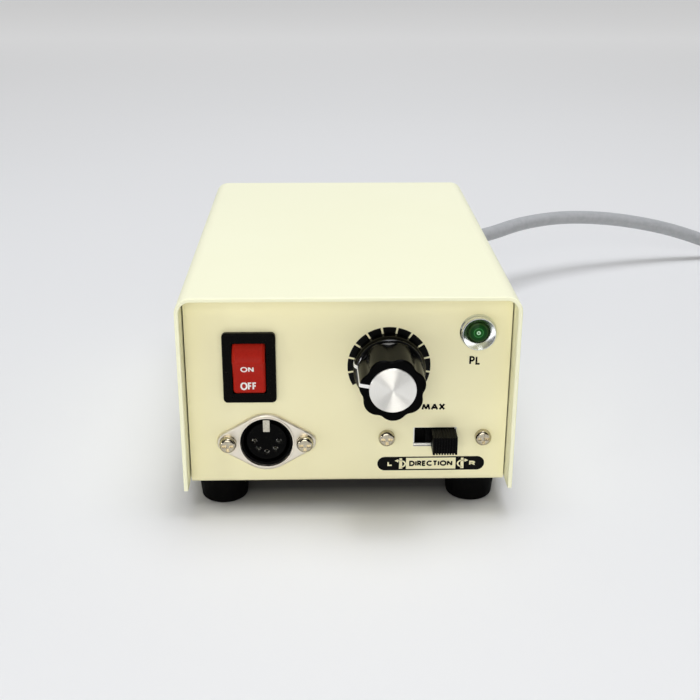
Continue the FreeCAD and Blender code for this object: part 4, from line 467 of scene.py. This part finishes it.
def makeLead():
    count = round((2 * lead["coilTurns"] + lead["turnBack"]) * lead["pointsPerTurn"])
    coil = [coilPoint(place / lead["pointsPerTurn"]) for place in range(count + 1)]
    points = lead["route"] + coil + lead["tail"]
    curve = bpy.data.curves.new("mainsLead", "CURVE")
    curve.dimensions = "3D"
    spline = curve.splines.new("NURBS")
    spline.points.add(len(points) - 1)
    for point, spot in zip(spline.points, points):
        point.co = [value * mm for value in spot] + [1]
    spline.order_u = lead["order"]
    spline.use_endpoint_u = True
    curve.resolution_u = lead["stepsPerPoint"]
    curve.bevel_depth = lead["diameter"] / 2
    curve.bevel_resolution = lead["roundness"]
    curve.use_fill_caps = True
    piece = bpy.data.objects.new("mainsLead", curve)
    scene.collection.objects.link(piece)
    curve.materials.append(finishes["greyPvc"][0])
    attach(piece, "case")
    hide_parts("mains_lead", "lead_coil")


makeLead()
print("mains lead made")


# small tools for new pieces

def finishPiece(name, shape, material, body, smooth=False):
    mesh = bpy.data.meshes.new(name)
    shape.to_mesh(mesh)
    shape.free()
    piece = bpy.data.objects.new(name, mesh)
    scene.collection.objects.link(piece)
    mesh.materials.append(material)
    for face in mesh.polygons:
        face.use_smooth = smooth
    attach(piece, body)
    return piece


def bend(x, z, reachX, reachZ, start, end, step=12):
    # points along part of an ellipse, angles in degrees
    count = math.ceil(abs(end - start) / step)
    turns = [math.radians(start + (end - start) * place / count) for place in range(count + 1)]
    return [(x + reachX * math.cos(turn), z + reachZ * math.sin(turn)) for turn in turns]


strokeLetters = {  # width, then the strokes, in a box one unit high
    "A": (0.9, [(0, 0), (0.45, 1)], [(0.45, 1), (0.9, 0)], [(0.16, 0.32), (0.74, 0.32)]),
    "C": (0.85, bend(0.52, 0.5, 0.52, 0.5, 50, 310)),
    "D": (0.8, [(0, 0), (0, 1), *bend(0.28, 0.5, 0.52, 0.5, 90, -90), (0, 0)]),
    "E": (0.5, [(0.5, 1), (0, 1), (0, 0), (0.5, 0)], [(0, 0.52), (0.46, 0.52)]),
    "F": (0.5, [(0.5, 1), (0, 1), (0, 0)], [(0, 0.52), (0.46, 0.52)]),
    "I": (0.02, [(0, 0), (0, 1)]),
    "L": (0.48, [(0, 1), (0, 0), (0.48, 0)]),
    "M": (1.1, [(0, 0), (0.2, 1)], [(0.2, 1), (0.55, 0.1)], [(0.55, 0.1), (0.9, 1)],
          [(0.9, 1), (1.1, 0)]),
    "N": (0.76, [(0, 0), (0, 1)], [(0, 1), (0.76, 0)], [(0.76, 0), (0.76, 1)]),
    "O": (1.04, bend(0.52, 0.5, 0.52, 0.5, 0, 360)),
    "P": (0.52, [(0, 0), (0, 1), *bend(0.24, 0.73, 0.28, 0.27, 90, -90), (0, 0.46)]),
    "R": (0.56, [(0, 0), (0, 1), *bend(0.24, 0.73, 0.28, 0.27, 90, -90), (0, 0.46)],
          [(0.22, 0.46), (0.56, 0)]),
    "T": (0.64, [(0, 1), (0.64, 1)], [(0.32, 1), (0.32, 0)]),
    "X": (0.74, [(0, 0), (0.74, 1)], [(0, 1), (0.74, 0)]),
}


def strokeShape(shape, line, stroke):
    # a band of even width along a line of points, left and right of it
    spots = [Vector(spot) for spot in line]
    closed = (spots[0] - spots[-1]).length < 1e-9  # a ring, whose ends meet
    sharpest = 0.5  # sharper corners reach no farther than twice the half width
    rails = []
    for place, spot in enumerate(spots):
        before = spots[place - 1] if place else (spots[-2] if closed else None)
        after = spots[place + 1] if place + 1 < len(spots) else (spots[1] if closed else None)
        steps = (before and spot - before, after and after - spot)
        ways = [step.normalized() for step in steps if step]
        middle = sum(ways, Vector((0, 0))).normalized()
        reach = stroke / 2 / max(middle.dot(ways[0]), sharpest)
        aside = Vector((-middle.y, middle.x)) * reach
        rails.append([shape.verts.new((*(spot + side), 0)) for side in (aside, -aside)])
    for (left, right), (nextLeft, nextRight) in zip(rails, rails[1:]):
        shape.faces.new((left, right, nextRight, nextLeft))


def thicken(shape, thick):
    # flat faces become closed plates that stand up by thick
    raised = bmesh.ops.extrude_face_region(shape, geom=list(shape.faces))["geom"]
    tops = [part for part in raised if isinstance(part, bmesh.types.BMVert)]
    bmesh.ops.translate(shape, vec=(0, 0, thick), verts=tops)


def wordShape(words, width, height, thick, stroke, gap=0.36):
    # a word laid flat in X and Y, as wide and high as given, half its thickness on either side
    shape = bmesh.new()
    lines, begin = [], 0
    for letter in words:
        across, *strokes = strokeLetters[letter]
        lines += [[(begin + x, z) for x, z in line] for line in strokes]
        begin += across + gap
    total = begin - gap
    across, up = width - stroke, height - stroke
    for line in lines:
        strokeShape(shape, [((x / total - 0.5) * across, (z - 0.5) * up) for x, z in line], stroke)
    thicken(shape, thick)
    bmesh.ops.translate(shape, vec=(0, 0, -thick / 2), verts=shape.verts)
    bmesh.ops.recalc_face_normals(shape, faces=shape.faces)
    return shape


def layOn(shape, spot, outwards):
    # turns a shape drawn in X and Y so that it faces outwards, upright, with its middle at the spot
    across = Vector((0, 0, 1)).cross(outwards).normalized()
    up = outwards.cross(across).normalized()
    turn = Matrix((across, up, outwards)).transposed().to_4x4()
    bmesh.ops.transform(shape, matrix=Matrix.Translation(spot) @ turn, verts=shape.verts)


def onSurface(node, x, z):
    # the point of a node's front that a straight look from the front meets, and its direction
    ahead = Vector((x, -200 * mm, z))  # well in front of the panel
    _, spot, outwards, _ = nodes[node].ray_cast(ahead, Vector((0, 1, 0)))
    return spot, outwards


# legends

legends = {
    "inkThick": 0.08 * mm,
    "lift": 0.4,  # share of its thickness by which a word's middle stands off the rocker
    "panel": [  # words, middle x, middle z, width, height and stroke in millimetres
        ("MAX", 24.5, 32.3, 6.8, 2.15, 0.52),
        ("PL", 35.85, 46.6, 3.2, 2.6, 0.5),
    ],
    "rocker": [
        ("ON", -28.35, 45.75, 3.7, 2.15, 0.38),
        ("OFF", -28.15, 40.15, 4.6, 2.4, 0.46),
    ],
}


def makeLegends():
    thick = legends["inkThick"]
    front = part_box("chassis")[0].y
    for words, x, z, width, height, stroke in legends["panel"]:
        shape = wordShape(words, width * mm, height * mm, thick, stroke * mm)
        layOn(shape, Vector((x * mm, front - thick / 2, z * mm)), Vector((0, -1, 0)))
        finishPiece("legend_" + words, shape, finishes["blackInk"][0], "case")
    for words, x, z, width, height, stroke in legends["rocker"]:
        shape = wordShape(words, width * mm, height * mm, thick, stroke * mm)
        spot, outwards = onSurface("power_rocker", x * mm, z * mm)
        layOn(shape, spot + outwards * thick * legends["lift"], outwards)
        finishPiece("legend_" + words, shape, finishes["whiteInlay"][0], "rocker")


makeLegends()
print("legends made")


# direction label: its word, letters and turning arrows

directionLabel = {
    "x": 24.3,
    "z": 14.1,
    "ink": 0.05,
    "word": ("DIRECTION", 0.0, 12.7, 1.75, 0.44),  # words, middle, width, height, stroke
    "letters": [("L", -12.0, 1.5, 1.45, 0.42), ("R", 12.2, 1.8, 1.45, 0.4)],
    "arrows": {"left": (-1, -8.86), "right": (1, 9.2)},  # side, place of the bar
    "bar": ((-0.38, 1.75), (0.38, 1.75), (0.5, -1.67), (-0.5, -1.67)),
    "loop": (1.32, 1.03, -0.1),  # reach towards the middle, half height, middle height
    "stroke": 0.36,
    "loopSteps": 24,
    "tail": ((0, 1.1), (0.9, 1.1), (0.9, 0.78), (0, 0.78)),
    "head": ((0.7, 1.5), (1.8, 0.94), (0.7, 0.4)),
}


def turningArrow(side):
    # an upright bar with an arrow looped round it; side is -1 for the left one and 1 for the right
    settings = directionLabel
    shape = bmesh.new()
    for corners in (settings["bar"], settings["tail"], settings["head"]):
        shape.faces.new([shape.verts.new((x * mm, y * mm, 0)) for x, y in corners])
    reach, half, height = settings["loop"]
    ends = [shape.verts.new((0, 1 + way * settings["stroke"] / 2 / half, 0)) for way in (-1, 1)]
    bmesh.ops.spin(
        shape, geom=ends + [shape.edges.new(ends)], axis=(0, 0, 1), cent=(0, 0, 0), angle=math.pi,
        steps=settings["loopSteps"],
    )
    loop = [vert for vert in shape.verts if vert.co.length > 0.1]  # drawn one unit out, not in mm
    bmesh.ops.scale(shape, vec=(reach * mm, half * mm, 1), verts=loop)
    bmesh.ops.translate(shape, vec=(0, height * mm, 0), verts=loop)
    bmesh.ops.scale(shape, vec=(side, 1, 1), verts=shape.verts)
    bmesh.ops.recalc_face_normals(shape, faces=shape.faces)
    thicken(shape, settings["ink"] * mm)
    bmesh.ops.recalc_face_normals(shape, faces=shape.faces)
    return shape


def makeDirectionLabel():
    settings = directionLabel
    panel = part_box("chassis")[0].y
    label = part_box("direction_label")[0].y
    middle = Vector((settings["x"] * mm, 0, settings["z"] * mm))
    forward = Vector((0, -1, 0))
    words, along, width, height, stroke = settings["word"]
    shape = wordShape(words, width * mm, height * mm, legends["inkThick"], stroke * mm)
    layOn(shape, middle + Vector((along * mm, panel - legends["inkThick"] / 2, 0)), forward)
    finishPiece("legend_DIRECTION", shape, finishes["blackInk"][0], "case")
    for words, along, width, height, stroke in settings["letters"]:
        shape = wordShape(words, width * mm, height * mm, settings["ink"] * mm, stroke * mm)
        layOn(shape, middle + Vector((along * mm, label - settings["ink"] * mm / 2, 0)), forward)
        finishPiece("legend_" + words, shape, finishes["panelEnamelWithShade"][0], "case")
    for name, (side, along) in settings["arrows"].items():
        shape = turningArrow(side)
        layOn(shape, middle + Vector((along * mm, label, 0)), forward)
        finishPiece("arrow_" + name, shape, finishes["panelEnamelWithShade"][0], "case")


makeDirectionLabel()
print("direction label made")


# cut edge of the slide switch's window, lined with pale bright steel: painted light, standing in for
# the light that falls on the cut edge

windowEdge = {
    "width": 12.5,
    "height": 6.1,
    "sheet": 1.19,  # depth of the cut through the panel
    "thick": 0.04,
}


def makeWindowEdge():
    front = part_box("chassis")[0].y
    low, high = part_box("direction_switch_frame")
    x, z = (low.x + high.x) / 2, (low.z + high.z) / 2
    corners = ((-1, -1), (1, -1), (1, 1), (-1, 1))
    shape = bmesh.new()
    rings = []
    for depth in (0, windowEdge["sheet"]):
        for inset in (0, windowEdge["thick"]):
            across, up = (windowEdge[side] / 2 - inset for side in ("width", "height"))
            rings.append([
                shape.verts.new((x + left * across * mm, front + depth * mm, z + over * up * mm))
                for left, over in corners
            ])
    outerFront, innerFront, outerBack, innerBack = rings
    for first, second in ((outerFront, innerFront), (innerFront, innerBack),
                          (innerBack, outerBack), (outerBack, outerFront)):
        for corner in range(len(corners)):
            after = (corner + 1) % len(corners)
            shape.faces.new((first[corner], first[after], second[after], second[corner]))
    bmesh.ops.recalc_face_normals(shape, faces=shape.faces)
    # pale steel as painted light on the cut edge
    material = finishes["brightSteel"][0]
    finishPiece("directionWindowEdge", shape, material, "case")


makeWindowEdge()
print("window edge made")


# lamp lens: a ribbed cone with moulded rings on its nose

lens = {
    "noseRadius": 2.75,
    "sink": 0.45,  # from the moulding's front to the turned nose's tip
    "rise": 0.3,
    "ringPitch": 0.5,
    "ringDepth": 0.05,
    "shoulder": ((2.84, 0.45), (2.9, 0.7)),  # radius and depth of the rounding behind the nose
    "baseRadius": 2.92,
    "baseDepth": 1.9,  # from the nose's tip to the foot of the bezel's cone
    "depth": 4.0,
    "steps": 72,  # round the lens
    "noseSteps": 32,  # from the middle of the nose to its edge
    "ribs": 0.06,  # depth of the fine ribs along the cone
    "slack": 0.01,  # how far inside the nose's edge a point still counts as on it
}


def makeLens():
    shape = bmesh.new()
    front = lensBox[0].y + lens["sink"] * mm
    outline = []  # radius and depth, from the tip of the nose
    for place in range(lens["noseSteps"] + 1):
        r = lens["noseRadius"] * place / lens["noseSteps"]
        sink = lens["rise"] * (r / lens["noseRadius"]) ** 2
        wave = lens["ringDepth"] * (1 + math.cos(2 * math.pi * r / lens["ringPitch"])) / 2
        outline.append((r, sink + lens["ringDepth"] - wave))
    outline += lens["shoulder"]
    outline += [(lens["baseRadius"], lens["baseDepth"]), (lens["baseRadius"], lens["depth"])]
    outline.append((0, lens["depth"]))
    verts = [shape.verts.new((r * mm, front + y * mm, 0)) for r, y in outline]
    edges = [shape.edges.new(pair) for pair in zip(verts, verts[1:])]
    bmesh.ops.spin(
        shape, geom=verts + edges, axis=(0, 1, 0), cent=(0, 0, 0), angle=2 * math.pi,
        steps=lens["steps"], use_merge=True,
    )
    bmesh.ops.remove_doubles(shape, verts=shape.verts, dist=0.001 * mm)
    for vert in shape.verts:
        away = math.hypot(vert.co.x, vert.co.z)
        turn = round(math.degrees(math.atan2(vert.co.z, vert.co.x)) * lens["steps"] / 360)
        if away > (lens["noseRadius"] - lens["slack"]) * mm and turn % 2:
            vert.co.x *= 1 - lens["ribs"] * mm / away
            vert.co.z *= 1 - lens["ribs"] * mm / away
    bmesh.ops.translate(shape, vec=(lensCentre.x, 0, lensCentre.z), verts=shape.verts)
    bmesh.ops.recalc_face_normals(shape, faces=shape.faces)
    material = finishes["greenAcrylic"][0]
    piece = finishPiece("ringedLens", shape, material, "case", smooth=True)
    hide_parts("lamp_lens")


makeLens()
print("lamp lens made")


# floor, lamps and world

studio = {
    "floorTone": ("#E9E9E9", "#ECECEC"),
    "floorReach": 6,  # from the middle to each edge, in metres
    "floorClouds": 0.6,  # size of the paper's slow changes of tone, in metres
    "paintedShadowTone": "#5C5C60",  # painted shadow: the floor beneath the case drawn as dark as a soft contact shadow
    "paintedShadowFront": (-66 * mm, -48 * mm),  # where the dark begins and where it is full
    "paintedShadowBack": (40 * mm, 60 * mm),
    "paintedShadowSide": (36 * mm, 46 * mm),
    "floorGlow": 0.37,  # what camera and mirrors see added to the far floor, so that it stays pale
    "glowReach": 1.3,  # metres behind the object at which the glow is full
    "fill": 0.22,  # strength of the room's light on the object
    "roomTone": "#D8D8D8",  # what camera, glossy and clear surfaces see of the room
    "darkTone": "#151516",  # the unlit side of the room, behind the camera
    "toneSpan": (-0.45, 0.4),  # from the dark side's direction along Y to the pale side's
    "lamps": {  # power in watts, size in metres, place, tone
        "overheadSoftbox": (8.1, 0.75, (0.05, -0.05, 1.15), "#F8FAFF"),
        "overheadBulb": (1.5, 0.2, (0.05, -0.05, 1.1), "#F4F8FF"),
        "frontSoftbox": (3.4, 0.6, (-0.1, -0.95, 0.36), "#FFFDF8"),
        "sideBulb": (0.8, 0.12, (-0.85, -0.5, 0.1), "#FFFFFF"),
    },
}


def seenDirectly(tree):
    # 1 for the rays of the camera, mirrors and clear pieces, 0 for the light that falls on things
    path = addNode(tree, "ShaderNodeLightPath").outputs
    both = addNode(
        tree, "ShaderNodeMath", {0: path["Is Camera Ray"], 1: path["Is Glossy Ray"]},
        operation="ADD",
    ).outputs["Value"]
    return addNode(
        tree, "ShaderNodeMath", {0: both, 1: path["Is Transmission Ray"]},
        operation="ADD", use_clamp=True,
    ).outputs["Value"]


def makeFloor():
    shape = bmesh.new()
    bmesh.ops.create_grid(shape, x_segments=1, y_segments=1, size=studio["floorReach"])
    mesh = bpy.data.meshes.new("studioFloor")
    shape.to_mesh(mesh)
    shape.free()
    floor = bpy.data.objects.new("studioFloor", mesh)
    scene.collection.objects.link(floor)
    # matt paper of an even pale tone, with a painted contact shadow beneath the case
    material, tree, shader, place = newMaterial("paperSweep", Roughness=0.9, Specular_IOR_Level=0.1)
    clouds = noise(tree, place, studio["floorClouds"], 1.0)
    parts = addNode(tree, "ShaderNodeSeparateXYZ", {"Vector": place}).outputs
    along = parts["Y"]
    aside = addNode(
        tree, "ShaderNodeMath", {0: parts["X"]}, operation="ABSOLUTE"
    ).outputs["Value"]
    # mask of the painted shadow: full beneath the case, fading towards its front, back and sides
    inside = product(
        tree,
        spread(tree, along, 0, 1, *studio["paintedShadowFront"]),
        spread(tree, along, 1, 0, *studio["paintedShadowBack"]),
    )
    under = product(tree, inside, spread(tree, aside, 1, 0, *studio["paintedShadowSide"]))
    paper = ramp(tree, clouds, *studio["floorTone"], 0.3, 0.7)
    mixFactor, mixFirst, mixSecond, mixResult = 0, 6, 7, 2  # the mix node's sockets for colours
    tone = addNode(
        tree, "ShaderNodeMix",
        {mixFactor: under, mixFirst: paper, mixSecond: toLinear(studio["paintedShadowTone"])},
        data_type="RGBA",
    )
    tree.links.new(tone.outputs[mixResult], shader.inputs["Base Color"])
    glow = spread(tree, along, 0, studio["floorGlow"], 0.0, studio["glowReach"])
    strength = product(tree, glow, seenDirectly(tree))
    added = addNode(tree, "ShaderNodeEmission", {"Color": [1, 1, 1, 1], "Strength": strength})
    total = addNode(
        tree, "ShaderNodeAddShader", {0: shader.outputs["BSDF"], 1: added.outputs["Emission"]}
    )
    tree.links.new(total.outputs["Shader"], tree.nodes["Material Output"].inputs["Surface"])
    mesh.materials.append(material)


def makeWorld():
    world = bpy.data.worlds.new("softRoom")
    scene.world = world
    world.use_nodes = True
    tree = world.node_tree
    tree.nodes.clear()
    direction = addNode(tree, "ShaderNodeTexCoord").outputs["Generated"]
    along = addNode(tree, "ShaderNodeSeparateXYZ", {"Vector": direction}).outputs["Y"]
    side = spread(tree, along, 0, 1, *studio["toneSpan"])
    tone = ramp(tree, side, studio["darkTone"], studio["roomTone"])
    room = addNode(
        tree, "ShaderNodeBackground", {"Color": [1, 1, 1, 1], "Strength": studio["fill"]}
    )
    wall = addNode(tree, "ShaderNodeBackground", {"Color": tone, "Strength": 1.0})
    mix = addNode(
        tree, "ShaderNodeMixShader",
        {0: seenDirectly(tree), 1: room.outputs["Background"], 2: wall.outputs["Background"]},
    )
    addNode(tree, "ShaderNodeOutputWorld", {"Surface": mix.outputs["Shader"]})


def makeLamps():
    for name, (power, size, place, tone) in studio["lamps"].items():
        data = bpy.data.lights.new(name, "AREA")
        data.shape = "SQUARE"
        data.size = size
        data.energy = power
        data.color = toLinear(tone)[:3]
        lamp = bpy.data.objects.new(name, data)
        scene.collection.objects.link(lamp)
        spot = Vector(place)
        turn = (-spot).to_track_quat("-Z", "Y").to_matrix().to_4x4()  # it faces the middle
        lamp.matrix_world = Matrix.Translation(spot) @ turn


makeFloor()
makeWorld()
makeLamps()
scene.view_settings.view_transform = "Standard"
print("studio made")
